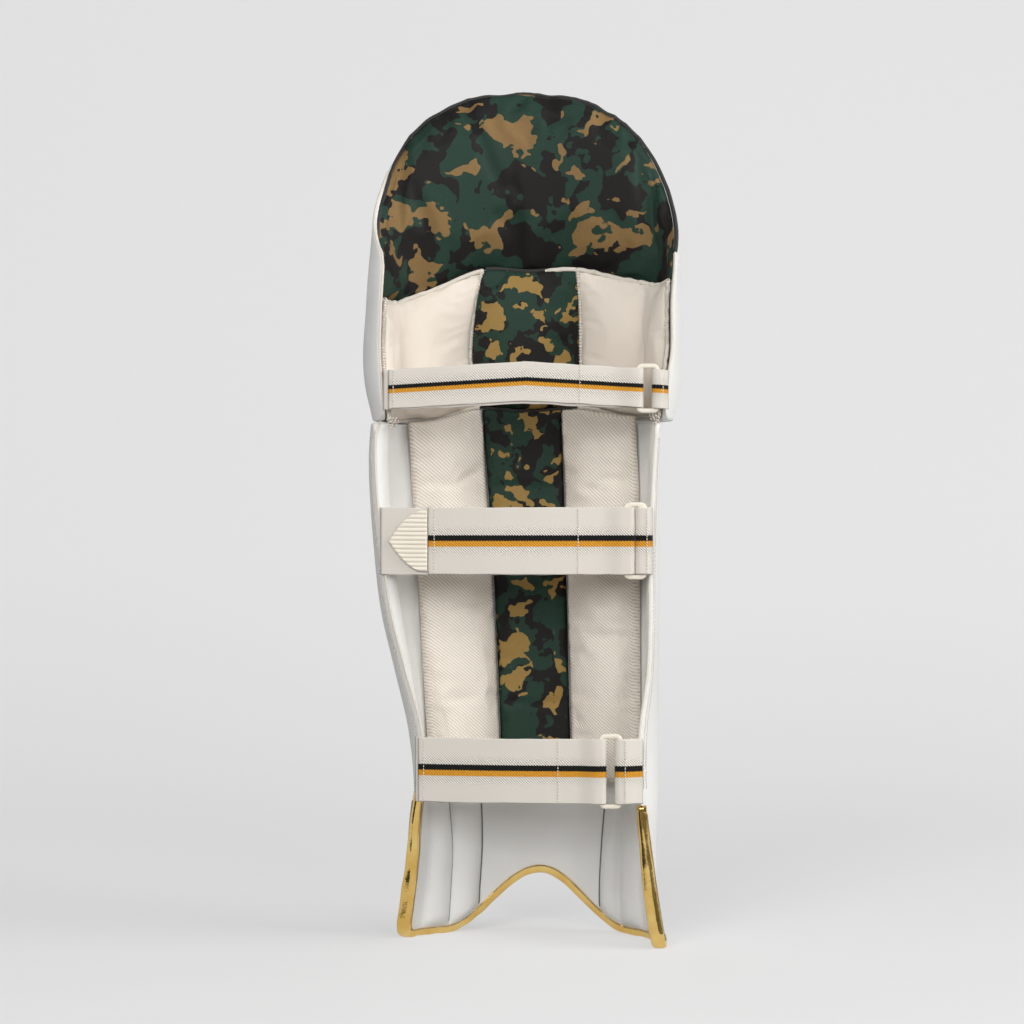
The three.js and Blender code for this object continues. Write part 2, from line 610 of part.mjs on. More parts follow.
// A rounded rectangle, as a shape or a hole
function roundedRectangle(kind, width, height, corner) {
  const [w, h] = [width / 2, height / 2];
  return new kind()
    .moveTo(-w + corner, -h)
    .lineTo(w - corner, -h)
    .absarc(w - corner, -h + corner, corner, -Math.PI / 2, 0)
    .lineTo(w, h - corner)
    .absarc(w - corner, h - corner, corner, 0, Math.PI / 2)
    .lineTo(-w + corner, h)
    .absarc(-w + corner, h - corner, corner, Math.PI / 2, Math.PI)
    .lineTo(-w, -h + corner)
    .absarc(-w + corner, -h + corner, corner, Math.PI, Math.PI * 1.5);
}

function strapLoop(name, { loop, slot, width }, y, height) {
  const inside = width + 2 * WEB_GAP;
  const outline = roundedRectangle(THREE.Shape, LOOP.width, inside + 2 * LOOP.overhang, LOOP.corner);
  outline.holes.push(roundedRectangle(THREE.Path, slot, inside, LOOP.corner / 6));
  const shape = { depth: LOOP.thick, bevelEnabled: false, curveSegments: 3 };
  const geometry = new THREE.ExtrudeGeometry(outline, shape);
  geometry.rotateX(Math.PI / 2);
  const mesh = add(name, geometry, FINISH.plastic);
  mesh.position.set(loop, y + LOOP.thick / 2, height);
}

// Ribbed pull tip on the end of the calf strap: a rounded arrow head that points to the left wing
function pullTip(name, spec, { lineAt, layer }) {
  const base = spec.over - WEB_GAP;
  const rows = PULL.ribs * 2;
  const up = steps(rows);
  const across = [0, 0.5, 1];
  const minimum = 4;
  const tipAt = (v) => lerp(base - minimum, PULL.tipX, (1 - Math.abs(2 * v - 1)) ** 0.55);
  const place = (depthAt) => (u, v) => {
    const x = lerp(tipAt(v), base, u);
    const y = lineAt(x) - layer + WEB / 2 - depthAt(v);
    return new THREE.Vector3(x, y, spec.at + (v - 0.5) * PULL.height);
  };
  const ribbed = (v) => PULL.thick + PULL.rib * (Math.round(v * rows) % 2);
  add(name, slab(gridOf(across, up, place(ribbed)), gridOf(across, up, place(() => 0))),
    FINISH.plastic);
}

shinShell();
instepBinding();
shinCushions();
thighShell();
topCushion();
kneeCushions();
kneeRolls();
STRAPS.forEach((spec, i) => {
  const made = strap(STRAP_NAMES[i], spec);
  if (STRAP_NAMES[i] === 'calf_strap') pullTip('calf_strap_pull', spec, made);
});

export default pad;
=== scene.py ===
import bpy
import numpy as np
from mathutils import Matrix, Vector


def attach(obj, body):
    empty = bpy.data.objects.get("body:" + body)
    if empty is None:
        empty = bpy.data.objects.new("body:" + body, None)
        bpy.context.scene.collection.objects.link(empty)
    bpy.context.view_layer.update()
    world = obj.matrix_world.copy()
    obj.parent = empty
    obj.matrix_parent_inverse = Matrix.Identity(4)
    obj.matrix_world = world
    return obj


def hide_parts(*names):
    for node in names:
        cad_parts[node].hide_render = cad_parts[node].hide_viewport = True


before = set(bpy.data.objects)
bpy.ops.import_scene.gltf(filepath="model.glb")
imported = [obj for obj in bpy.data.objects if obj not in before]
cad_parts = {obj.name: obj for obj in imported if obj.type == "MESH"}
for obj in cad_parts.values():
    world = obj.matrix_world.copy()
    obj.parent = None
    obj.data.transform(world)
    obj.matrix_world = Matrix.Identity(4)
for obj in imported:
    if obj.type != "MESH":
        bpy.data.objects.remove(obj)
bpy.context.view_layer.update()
print("frame loaded with", len(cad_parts), "nodes")

mm = 0.001
pi = np.pi
towardsLeg = [0.0, -1.0, 0.0]

# Sections of the two outer walls in millimetres, one row per height:
# height, axis, half width, front y, front radius, corner radius, rear y left, right, tuck left, right
shinRows = mm * np.array([
    [0, 4, 120, 60, 175, 60, 5, -57, 0, 2],
    [40, 5, 114, 57, 175, 59, 2, -57, 0, 4],
    [80, 8.5, 109.5, 53, 175, 56, -8, -57, 1, 9.5],
    [130, 12, 108, 48, 180, 48, -28, -57, 6, 18],
    [187, 9.5, 110.5, 47, 185, 43, -41, -56, 11.5, 18],
    [240, 3.5, 116.5, 47, 190, 42, -44, -53, 9.8, 10.8],
    [293, -2.5, 122.5, 47, 195, 42, -46, -52, 8.5, 9],
    [346, -5.5, 125.5, 47, 195, 42, -46, -51, 7.5, 8.8],
    [425, -7.5, 128, 48, 195, 42, -47, -49, 5.5, 5.6],
    [458.5, -5.5, 128, 48, 195, 42, -47, -49, 4.5, 5],
])
thighRows = mm * np.array([
    [458.5, 0, 132, 48, 235, 44, -48, -49, 11, 9.5],
    [491, 0, 138.5, 49, 255, 44, -51, -51, 14.5, 12.5],
    [520, -0.5, 140, 49, 260, 44, -51, -51, 15, 9],
    [560, 0.5, 138.5, 48, 265, 44, -50, -50, 13.5, 8],
    [605, 2, 136.5, 45, 270, 44, -44, -44, 12, 4.5],
    [650, 1.5, 133, 42, 275, 43, -34, -34, 7, 2],
    [756, 1, 131, 34, 290, 40, -27, -27, 3, 1],
])
# Top edge of the thigh part: share of the way round, height
topArchRows = np.array([
    [0, 756], [0.28, 750.5], [0.45, 739], [0.6, 720], [0.7, 699], [0.8, 670], [0.88, 644], [1, 606],
]) * [1, mm]
topSeam = {"length": 330 * mm, "drawn": 0.9 * mm, "pitch": 48 * mm, "seed": 5}
# Knee cushions: x, height of the upper and of the lower seam
kneeSeamRows = mm * np.array([
    [-122, 564, 460], [-85, 578, 463], [-42, 595, 473], [4, 594, 471],
    [51, 596, 473], [92, 587, 467], [132, 579, 464],
])
# Shin cushions: height, then x of the outer and inner left edge and of the inner and outer right edge
shinCushionRows = mm * np.array([
    [136, -84.7, -19.2, 44.6, 107.2], [240, -90.5, -23, 42, 106.5], [325, -95, -27, 40, 106],
    [400, -100, -32, 38, 105], [472, -106, -38, 36, 104],
])
wall = {"joint": 458.5 * mm, "jointGap": 0.3 * mm, "corner": 12 * mm, "thick": 8 * mm, "edge": 3 * mm,
        "pinch": 16 * mm, "wingRadius": 30 * mm, "seat": 1.2 * mm, "gap": 1 * mm, "seam": 2.5 * mm}


# Small formulas

def lerp(a, b, t):
    return a + (b - a) * t


def smooth(x, low, high):  # 3t^2 - 2t^3 of the clipped share between low and high
    t = np.clip((x - low) / (high - low), 0, 1)
    return t * t * (3 - 2 * t)


def crown(t, power=0.5):  # half a sine wave raised to a power: 0 at the seams, 1 in the middle
    return np.sin(pi * np.clip(t, 0, 1)) ** power


def rounded(distance, radius):  # quarter circle: 0 at an edge and 1 from the radius inwards
    return np.sqrt(1 - (1 - np.clip(distance / radius, 0, 1)) ** 2)


def unit(vectors):
    return vectors / np.maximum(np.linalg.norm(vectors, axis=-1, keepdims=True), 1e-12)


def uneven(u, v, seed, pitch, waves=7):
    # mean of sine waves with random directions, phases and pitches around the given one
    draw = np.random.default_rng(seed)
    angle = draw.uniform(0, 2 * pi, waves)
    phase = draw.uniform(0, 2 * pi, waves)
    turns = 2 * pi / (pitch * draw.uniform(0.6, 1.5, waves))
    run = u[..., None] * np.cos(angle) + v[..., None] * np.sin(angle)
    return np.sin(run * turns + phase).sum(-1) / np.sqrt(waves)


def edgeSteps(count, rim):
    # even steps from 0 to 1, with four more inside the rim at both ends, close together at the very edge
    ends = rim * (1 - np.cos(np.linspace(0, pi / 2, 5)))[:-1]
    return np.concatenate([ends, np.linspace(rim, 1 - rim, count), 1 - ends[::-1]])


def smoothRows(rows, at):
    # cubic through a table's rows: the slope at a row is the mean of the slopes of the spans beside it
    key, values = rows[:, 0], rows[:, 1:]
    secant = np.diff(values, axis=0) / np.diff(key)[:, None]
    slope = np.vstack([secant[:1], (secant[1:] + secant[:-1]) / 2, secant[-1:]])
    at = np.clip(at, key[0], key[-1])
    i = np.clip(np.searchsorted(key, at, side="right") - 1, 0, len(key) - 2)
    span = (key[i + 1] - key[i])[..., None]
    t = (at - key[i])[..., None] / span
    from0 = (1 + 2 * t) * (1 - t) ** 2 * values[i] + t * (1 - t) ** 2 * span * slope[i]
    from1 = t ** 2 * (3 - 2 * t) * values[i + 1] - t ** 2 * (1 - t) * span * slope[i + 1]
    return from0 + from1


# The walls: a point is given by its height, its share of the way round from the front middle
# to the rear edge (-1 left, 1 right) and its depth below the outer face

def wallArcs(rows, height, share):
    # front, corner and wing arcs, each tangent to the one before; the wing leans in by its tuck
    columns = np.moveaxis(smoothRows(rows, height), -1, 0)
    axis, half, frontY, frontR, cornerR, rearL, rearR, tuckL, tuckR = columns
    left = share < 0
    frontTurn = np.arcsin((half - cornerR) / (frontR - cornerR))
    cornerX = (frontR - cornerR) * np.sin(frontTurn)
    cornerY = frontY - frontR + (frontR - cornerR) * np.cos(frontTurn)
    reach = cornerY - np.where(left, rearL, rearR)
    hasWing = reach > 0.5 * mm
    wingReach = np.maximum(reach, 0.5 * mm)
    mostTuck = wingReach ** 2 / (2 * wall["wingRadius"])
    tuck = np.minimum(np.maximum(np.where(left, tuckL, tuckR), 0.01 * wingReach), mostTuck)
    wingTurn = 2 * np.arctan(tuck / wingReach)
    wingR = wingReach / np.sin(wingTurn)
    lastTurn = np.where(hasWing, pi / 2, np.arccos(np.clip(-reach / cornerR, 0, 1)))
    lengths = frontR * frontTurn, cornerR * (lastTurn - frontTurn), np.where(hasWing, wingR * wingTurn, 0)
    return axis, frontY, frontR, frontTurn, cornerX, cornerY, cornerR, wingR, hasWing, lengths


def wallLength(rows, height, share):
    height, share = np.broadcast_arrays(height, share)
    return sum(wallArcs(rows, height, share)[-1])


def wallAt(rows, height, share, depth):
    # runs along the three arcs by the share of their whole length, then inwards by the depth
    height, share, depth = np.broadcast_arrays(height * 1.0, share * 1.0, depth * 1.0)
    axis, frontY, frontR, frontTurn, cornerX, cornerY, cornerR, wingR, hasWing, lengths = \
        wallArcs(rows, height, share)
    run = np.abs(share) * sum(lengths)
    inFront = run <= lengths[0]
    inWing = hasWing & (run > lengths[0] + lengths[1])
    turn = np.where(inFront, run / frontR, frontTurn + (run - lengths[0]) / cornerR)
    turn = np.where(inWing, pi / 2 + (run - lengths[0] - lengths[1]) / wingR, turn)
    radius = np.where(inFront, frontR, np.where(inWing, wingR, cornerR)) - depth
    centreX = np.where(inFront, 0, np.where(inWing, cornerX + cornerR - wingR, cornerX))
    centreY = np.where(inFront, frontY - frontR, cornerY)
    side = np.where(share < 0, -1, 1)
    x = axis + side * (centreX + radius * np.sin(turn))
    return np.stack([x, centreY + radius * np.cos(turn), height], -1)


def wallOut(rows, height, share):  # unit vector out of the playing face
    return unit(wallAt(rows, height, share, 0) - wallAt(rows, height, share, mm))


def shareAt(rows, height, x, depth):
    # bisects for the share whose point lies at x
    height, x = np.broadcast_arrays(height * 1.0, x * 1.0)
    side = np.where(x < smoothRows(rows, height)[..., 0], -1, 1)
    low, high = np.zeros_like(x), np.full_like(x, 0.8)
    for step in range(30):
        middle = (low + high) / 2
        before = side * (wallAt(rows, height, side * middle, depth)[..., 0] - x) < 0
        low, high = np.where(before, middle, low), np.where(before, high, middle)
    return side * (low + high) / 2


def topArch(share):  # the table's curve, drawn in a little unevenly by its seam
    wave = topSeam["drawn"] * uneven(share * topSeam["length"], 0 * share, topSeam["seed"], topSeam["pitch"])
    return smoothRows(topArchRows, np.abs(share))[..., 0] - np.abs(wave)


def pinched(fromEdge):  # wall thickness, thinning towards an edge seam by a quarter of a sine wave
    return lerp(wall["edge"], wall["thick"], np.sin(pi / 2 * np.clip(fromEdge / wall["pinch"], 0, 1)))


def thighInside(share, height):
    # thickness of the thigh part's wall, pinched along its top and rear edges
    fromEdge = (1 - np.abs(share)) * wallLength(thighRows, height, share)
    return pinched(np.minimum(fromEdge, topArch(share) - height))


def jointCorner(rows, share):
    # quarter circle taken off a wing's corner where the two parts meet
    fromEdge = (1 - np.abs(share)) * wallLength(rows, wall["joint"], share)
    inCorner = np.maximum(0, wall["corner"] - fromEdge)
    return wall["corner"] - np.sqrt(wall["corner"] ** 2 - inCorner ** 2)


# Meshes

def quads(ids):
    return np.stack([ids[:-1, :-1], ids[:-1, 1:], ids[1:, 1:], ids[1:, :-1]], -1).reshape(-1, 4)


def pillow(front, back):
    # two grids that share their rim: the front faces the leg, the back the playing side
    rows, columns = front.shape[:2]
    frontIds = np.arange(rows * columns).reshape(rows, columns)
    backIds = frontIds.copy()
    inner = (rows - 2) * (columns - 2)
    backIds[1:-1, 1:-1] = rows * columns + np.arange(inner).reshape(rows - 2, columns - 2)
    points = np.concatenate([front.reshape(-1, 3), back[1:-1, 1:-1].reshape(-1, 3)])
    return points, np.concatenate([quads(frontIds), quads(backIds)[:, ::-1]])


def wallPillow(rows, height, share, frontDepth, backDepth):  # pillow between two depths of a wall
    return pillow(wallAt(rows, height, share, frontDepth), wallAt(rows, height, share, backDepth))


def pillowValues(front, back):  # values of two grids in the order of pillow's points
    size = front.shape[2:]
    return np.concatenate([front.reshape(-1, *size), back[1:-1, 1:-1].reshape(-1, *size)])


def ring(points):
    # faces of a grid that closes on itself along both of its sides
    rows, columns = points.shape[:2]
    ids = np.arange(rows * columns).reshape(rows, columns)
    return points.reshape(-1, 3), quads(np.pad(ids, ((0, 1), (0, 1)), mode="wrap"))


def resample(path, step):
    # points at equal steps of length along a path
    run = np.concatenate([[0], np.cumsum(np.linalg.norm(np.diff(path, axis=0), axis=1))])
    at = np.linspace(0, run[-1], max(int(round(run[-1] / step)), 2) + 1)
    return np.stack([np.interp(at, run, path[:, k]) for k in range(path.shape[1])], -1)


def pathFrame(path, out):
    # unit vectors along the path, across it and out of the surface it lies on
    along = unit(np.gradient(path, axis=0))
    across = unit(np.cross(along, out))
    return along, across, np.cross(across, along)


def tube(path, out, radius, sides=8):
    # a circle carried along the path, drawn in to a point at both ends
    along, across, up = pathFrame(path, out)
    angle = np.linspace(0, 2 * pi, sides, endpoint=False)
    last = len(path) - 1
    fade = rounded(np.minimum(np.arange(last + 1), last - np.arange(last + 1)), 2)
    size = (np.maximum(fade, 0.02) * radius)[:, None, None]
    offset = across[:, None] * np.cos(angle)[:, None] + up[:, None] * np.sin(angle)[:, None]
    points = path[:, None] + size * offset
    ids = np.arange(len(path) * sides).reshape(len(path), sides)
    faces = quads(np.pad(ids, ((0, 0), (0, 1)), mode="wrap"))[:, ::-1]
    fan = np.arange(0, sides - 2, 2)
    start = np.stack([np.zeros_like(fan), fan + 1, fan + 2, (fan + 3) % sides], -1)
    caps = np.concatenate([start, ids[-1, 0] + start[:, ::-1]])
    return points.reshape(-1, 3), np.concatenate([faces, caps])


def helix(path, out, radius, pitch, steps=9):
    # winds round the path: a turn of the given radius for each pitch of length
    fine = resample(np.concatenate([path, out], 1), pitch / steps)
    line, normal = fine[:, :3], unit(fine[:, 3:])
    along, across, up = pathFrame(line, normal)
    angle = (2 * pi * np.arange(len(line)) / steps)[:, None]
    return line + radius * (np.cos(angle) * across + np.sin(angle) * up), up


# Rows of stitches: from one to the next, length and thickness of a stitch
sewing = {
    "binding": {"pitch": 3.0 * mm, "length": 2.2 * mm, "thick": 0.6 * mm},
    "strap": {"pitch": 2.8 * mm, "length": 2.2 * mm, "thick": 0.85 * mm},
    "roll": {"pitch": 4.2 * mm, "length": 3.0 * mm, "thick": 0.8 * mm},
    "wing": {"pitch": 3.4 * mm, "length": 2.4 * mm, "thick": 0.7 * mm},
}


def stitches(path, out, pitch, length, thick):
    # one slim barrel with square ends for each stitch, in line with the path and half sunk
    fine = resample(np.concatenate([path, out], 1), pitch)
    along, across, up = pathFrame(fine[:, :3], unit(fine[:, 3:]))
    station = np.repeat([-0.5, 0.0, 0.5], 4)
    swell = np.repeat([0.45, 1.0, 0.45], 4)
    side = np.tile([-0.5, 0.5, 0.5, -0.5], 3) * swell
    rise = np.tile([-0.5, -0.5, 0.5, 0.5], 3) * swell + 0.3
    points = fine[:, None, :3] + length * station[:, None] * along[:, None]
    points = points + thick * (side[:, None] * across[:, None] + rise[:, None] * up[:, None])
    ids = np.arange(12).reshape(3, 4)
    sides = quads(np.pad(ids, ((0, 0), (0, 1)), mode="wrap"))
    barrel = np.concatenate([sides, [[3, 2, 1, 0], [8, 9, 10, 11]]])[:, ::-1]
    faces = barrel[None] + 12 * np.arange(len(fine))[:, None, None]
    return points.reshape(-1, 3), faces.reshape(-1, 4)


def joined(parts):  # several meshes as one
    counts = np.cumsum([0] + [len(points) for points, faces in parts[:-1]])
    points = np.concatenate([points for points, faces in parts])
    return points, np.concatenate([faces + start for (p, faces), start in zip(parts, counts)])


def addPiece(name, shape, material, nodes=(), weave=None):
    # puts a shape's arrays into a mesh; weave gives each point's place on the cloth, in metres
    points, faces = shape
    mesh = bpy.data.meshes.new(name)
    mesh.vertices.add(len(points))
    mesh.vertices.foreach_set("co", np.ascontiguousarray(points, dtype=np.float32).ravel())
    mesh.loops.add(faces.size)
    mesh.loops.foreach_set("vertex_index", np.ascontiguousarray(faces, dtype=np.int32).ravel())
    mesh.polygons.add(len(faces))
    mesh.polygons.foreach_set("loop_start", np.arange(0, faces.size, 4, dtype=np.int32))
    mesh.update(calc_edges=True)
    mesh.shade_smooth()
    if weave is not None:
        layer = mesh.uv_layers.new(name="weave")
        layer.uv.foreach_set("vector", np.ascontiguousarray(weave[faces.ravel()], dtype=np.float32).ravel())
    mesh.materials.append(material)
    piece = bpy.data.objects.new(name, mesh)
    bpy.context.scene.collection.objects.link(piece)
    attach(piece, "root")
    if nodes:
        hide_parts(*nodes)
    return piece


# Materials

def rgb(red, green, blue):  # linear colour of an sRGB one
    share = np.array([red, green, blue]) / 255
    linear = np.where(share <= 0.04045, share / 12.92, ((share + 0.055) / 1.055) ** 2.4)
    return (*linear.tolist(), 1.0)


def startMaterial(name, **values):
    material = bpy.data.materials.new(name)
    material.use_nodes = True
    tree = material.node_tree
    shader = tree.nodes["Principled BSDF"]
    for socket, value in values.items():
        shader.inputs[socket].default_value = value
    return material, tree, shader


def feed(tree, shader, socket, value):
    tree.links.new(value, shader.inputs[socket])


def addNode(tree, kind, inputs=None, **settings):
    made = tree.nodes.new("ShaderNode" + kind)
    for key, value in settings.items():
        setattr(made, key, value)
    for key, value in (inputs or {}).items():
        if isinstance(value, bpy.types.NodeSocket):
            tree.links.new(value, made.inputs[key])
        else:
            made.inputs[key].default_value = value
    return made


def sums(tree, operation, a, b=0.0):
    return addNode(tree, "Math", {0: a, 1: b}, operation=operation).outputs[0]


def ridges(tree, place, pitch):  # sine wave of the given pitch along one coordinate
    return sums(tree, "SINE", sums(tree, "MULTIPLY", place, 2 * pi / pitch))


def spread(tree, value, low, high, toLow, toHigh):
    return addNode(tree, "MapRange", {0: value, 1: low, 2: high, 3: toLow, 4: toHigh}).outputs[0]


def blend(tree, factor, colourA, colourB):
    mix = addNode(tree, "Mix", {0: factor, 6: colourA, 7: colourB}, data_type="RGBA")
    return mix.outputs[2]


def noise(tree, place, scale, detail=2.0, rough=0.5, twist=0.0):
    inputs = {"Vector": place, "Scale": scale, "Detail": detail, "Roughness": rough, "Distortion": twist}
    return addNode(tree, "TexNoise", inputs).outputs[0]


def objectPlace(tree):
    return addNode(tree, "TexCoord").outputs["Object"]


def weavePlace(tree):
    place = addNode(tree, "UVMap", uv_map="weave").outputs[0]
    return addNode(tree, "SeparateXYZ", {0: place}).outputs


def setBump(tree, shader, height, depth, strength=1.0):
    inputs = {"Height": height, "Distance": depth, "Strength": strength}
    feed(tree, shader, "Normal", addNode(tree, "Bump", inputs).outputs[0])


def facingLeather():
    # coated leather: pebbled grain about 1 mm across, faint cloudy tone, roughness follows the grain
    material, tree, shader = startMaterial("facingLeather", **{"Specular IOR Level": 0.42})
    place = objectPlace(tree)
    grain = addNode(tree, "TexVoronoi", {"Vector": place, "Scale": 950}, feature="SMOOTH_F1").outputs[0]
    cloud = noise(tree, place, 14, 3)
    tone = blend(tree, spread(tree, cloud, 0.35, 0.7, 0, 1), rgb(232, 231, 228), rgb(240, 239, 236))
    feed(tree, shader, "Base Color", tone)
    feed(tree, shader, "Roughness", spread(tree, noise(tree, place, 60, 4), 0.3, 0.7, 0.36, 0.5))
    height = sums(tree, "ADD", grain, sums(tree, "MULTIPLY", noise(tree, place, 160, 3), 0.9))
    setBump(tree, shader, height, 0.22 * mm, 0.5)
    return material


def plainCotton(name, colourA, colourB):
    # plain weave: the product of two sine waves 0.9 mm apart, with uneven yarns
    material, tree, shader = startMaterial(name, **{"Roughness": 0.88, "Sheen Weight": 0.25,
                                                    "Sheen Roughness": 0.5, "Specular IOR Level": 0.25})
    u, v = weavePlace(tree)[:2]
    place = objectPlace(tree)
    weave = sums(tree, "MULTIPLY", ridges(tree, u, 0.9 * mm), ridges(tree, v, 0.9 * mm))
    slub = noise(tree, place, 420, 2)
    cloud = noise(tree, place, 18, 3)
    feed(tree, shader, "Base Color", blend(tree, spread(tree, cloud, 0.3, 0.7, 0, 1), colourA, colourB))
    height = sums(tree, "ADD", weave, sums(tree, "MULTIPLY", slub, 2.0))
    setBump(tree, shader, height, 0.05 * mm, 0.7)
    return material


def spacerMesh():
    # knitted spacer cloth: ridges that fall to the right, cut into small cells by a finer cross wave
    material, tree, shader = startMaterial("spacerMesh", **{"Roughness": 0.9, "Sheen Weight": 0.2,
                                                            "Specular IOR Level": 0.2})
    u, v = weavePlace(tree)[:2]
    turn = np.radians(38)
    down = sums(tree, "ADD", sums(tree, "MULTIPLY", u, np.sin(turn)), sums(tree, "MULTIPLY", v, np.cos(turn)))
    along = sums(tree, "SUBTRACT", sums(tree, "MULTIPLY", u, np.cos(turn)),
                 sums(tree, "MULTIPLY", v, np.sin(turn)))
    ridge = ridges(tree, down, 2.5 * mm)
    cell = sums(tree, "MULTIPLY", ridges(tree, along, 2.1 * mm), 0.35)
    height = sums(tree, "ADD", ridge, cell)
    # the colour follows the knit's height: grooves and cells are painted darker as shade, the ridges lighter
    shade = spread(tree, height, -1.2, 0.4, 0, 1)
    cloud = noise(tree, objectPlace(tree), 20, 2)
    light = blend(tree, cloud, rgb(249, 242, 232), rgb(244, 236, 225))
    feed(tree, shader, "Base Color", blend(tree, shade, rgb(214, 202, 187), light))
    setBump(tree, shader, height, 0.22 * mm, 0.55)
    return material


def bentBy(tree, place, base, scale, reach):
    # moves a place by a noise of its own: the noise's colour less a half, times the reach
    bend = addNode(tree, "TexNoise", {"Vector": place, "Scale": scale, "Detail": 1.0}).outputs[1]
    bend = addNode(tree, "VectorMath", {0: bend, 1: (0.5, 0.5, 0.5)}, operation="SUBTRACT").outputs[0]
    bend = addNode(tree, "VectorMath", {0: bend, "Scale": reach}, operation="SCALE").outputs[0]
    return addNode(tree, "VectorMath", {0: base, 1: bend}).outputs[0]


def camouflage(name, tanA, tanB, scale):
    # woodland print: noise bent three times, ever finer, and cut at levels into green, dark brown and tan
    material, tree, shader = startMaterial(name, **{"Roughness": 0.62, "Sheen Weight": 0.03,
                                                    "Specular IOR Level": 0.25})
    place = objectPlace(tree)
    bent = bentBy(tree, place, place, 24 * scale, 0.055 / scale)
    bent = bentBy(tree, place, bent, 88 * scale, 0.021 / scale)
    bent = bentBy(tree, place, bent, 190 * scale, 0.005 / scale)
    patch = addNode(tree, "Mapping", {0: bent, 3: (1.1, 1.0, 0.75)}).outputs[0]
    shifted = addNode(tree, "Mapping", {0: bent, 1: (0.71, 0.33, 0.52), 3: (0.95, 1.0, 1.05)}).outputs[0]
    dark = spread(tree, noise(tree, patch, 38 * scale, 1.0, 0.4), 0.508, 0.514, 0, 1)
    tan = spread(tree, noise(tree, shifted, 38 * scale, 1.0, 0.4), 0.588, 0.594, 0, 1)
    yarn = noise(tree, place, 700, 2)
    green = blend(tree, yarn, rgb(23, 46, 36), rgb(36, 64, 51))
    brown = blend(tree, yarn, rgb(16, 14, 13), rgb(27, 24, 23))
    colour = blend(tree, dark, green, brown)
    tanTone = blend(tree, yarn, tanA, tanB)
    feed(tree, shader, "Base Color", blend(tree, tan, colour, tanTone))
    u, v = weavePlace(tree)[:2]
    weave = sums(tree, "MULTIPLY", ridges(tree, u, 1.0 * mm), ridges(tree, v, 1.0 * mm))
    setBump(tree, shader, sums(tree, "ADD", weave, yarn), 0.06 * mm, 0.7)
    return material


def stripedWebbing(name, stripe):
    # twill: ridges that fall to the right, strongest beside the two stripes along the middle
    material, tree, shader = startMaterial(name, **{"Roughness": 0.86, "Sheen Weight": 0.06,
                                                    "Specular IOR Level": 0.25})
    u, v = weavePlace(tree)[:2]
    twill = ridges(tree, sums(tree, "SUBTRACT", u, v), 2.4 * mm)
    cross = ridges(tree, sums(tree, "ADD", u, v), 1.7 * mm)
    middle = spread(tree, sums(tree, "ABSOLUTE", v), stripe + 3 * mm, stripe + 10 * mm, 1, 0.12)
    height = sums(tree, "MULTIPLY", sums(tree, "ADD", twill, sums(tree, "MULTIPLY", cross, 0.5)), middle)
    # the colour follows the twill's height: its grooves are painted darker as shade, most beside the stripes;
    # the stripes themselves are print
    shade = spread(tree, height, -1.3, 0.6, 0, 1)
    cream = blend(tree, shade, rgb(170, 165, 150), rgb(236, 229, 221))
    gold = blend(tree, shade, rgb(168, 104, 22), rgb(232, 166, 52))
    dark = blend(tree, shade, rgb(5, 7, 7), rgb(16, 19, 18))
    edge = 0.3 * mm
    frayed = sums(tree, "ADD", v, sums(tree, "MULTIPLY", twill, 0.25 * mm))
    low = spread(tree, frayed, -stripe - edge, -stripe + edge, 0, 1)
    high = spread(tree, frayed, stripe - edge, stripe + edge, 1, 0)
    upper = spread(tree, frayed, -edge, edge, 0, 1)
    pair = blend(tree, upper, gold, dark)
    feed(tree, shader, "Base Color", blend(tree, sums(tree, "MULTIPLY", low, high), cream, pair))
    setBump(tree, shader, height, 0.16 * mm, 0.8)
    return material


def goldFoil():
    # foil on cloth: fine crinkles and soft dents over polished metal
    material, tree, shader = startMaterial("goldFoil", **{"Metallic": 1.0})
    place = objectPlace(tree)
    crinkle = noise(tree, place, 220, 3, 0.6, 1.2)
    dent = noise(tree, place, 45, 2)
    tone = blend(tree, spread(tree, dent, 0.3, 0.7, 0, 1), rgb(234, 190, 104), rgb(248, 216, 138))
    feed(tree, shader, "Base Color", tone)
    feed(tree, shader, "Roughness", spread(tree, crinkle, 0.3, 0.7, 0.05, 0.13))
    height = sums(tree, "ADD", sums(tree, "MULTIPLY", crinkle, 0.4), sums(tree, "MULTIPLY", dent, 1.6))
    setBump(tree, shader, height, 0.5 * mm, 0.5)
    return material


def mouldedPlastic():
    # moulded plastic: very fine spark-eroded texture and a slight tone
    material, tree, shader = startMaterial("mouldedPlastic", **{"Subsurface Weight": 0.05,
                                                                "Subsurface Radius": (0.004, 0.003, 0.002)})
    place = objectPlace(tree)
    fine = noise(tree, place, 1800, 2)
    cloud = noise(tree, place, 40, 2)
    feed(tree, shader, "Base Color", blend(tree, cloud, rgb(230, 220, 202), rgb(240, 232, 217)))
    feed(tree, shader, "Roughness", spread(tree, fine, 0.3, 0.7, 0.38, 0.52))
    setBump(tree, shader, fine, 0.05 * mm, 0.5)
    return material


def sewingThread(name, colourA, colourB, rough=0.7):
    # twisted thread: slanting ridges 0.5 mm apart
    material, tree, shader = startMaterial(name, **{"Roughness": rough, "Sheen Weight": 0.15})
    place = objectPlace(tree)
    axes = addNode(tree, "SeparateXYZ", {0: place}).outputs
    twist = ridges(tree, sums(tree, "ADD", sums(tree, "ADD", axes[0], axes[1]), axes[2]), 0.5 * mm)
    # the colour darkens in the grooves between the twists: painted shade
    tone = spread(tree, sums(tree, "ADD", twist, noise(tree, place, 300, 2)), -0.6, 1.4, 0, 1)
    feed(tree, shader, "Base Color", blend(tree, tone, colourA, colourB))
    setBump(tree, shader, twist, 0.06 * mm, 0.6)
    return material


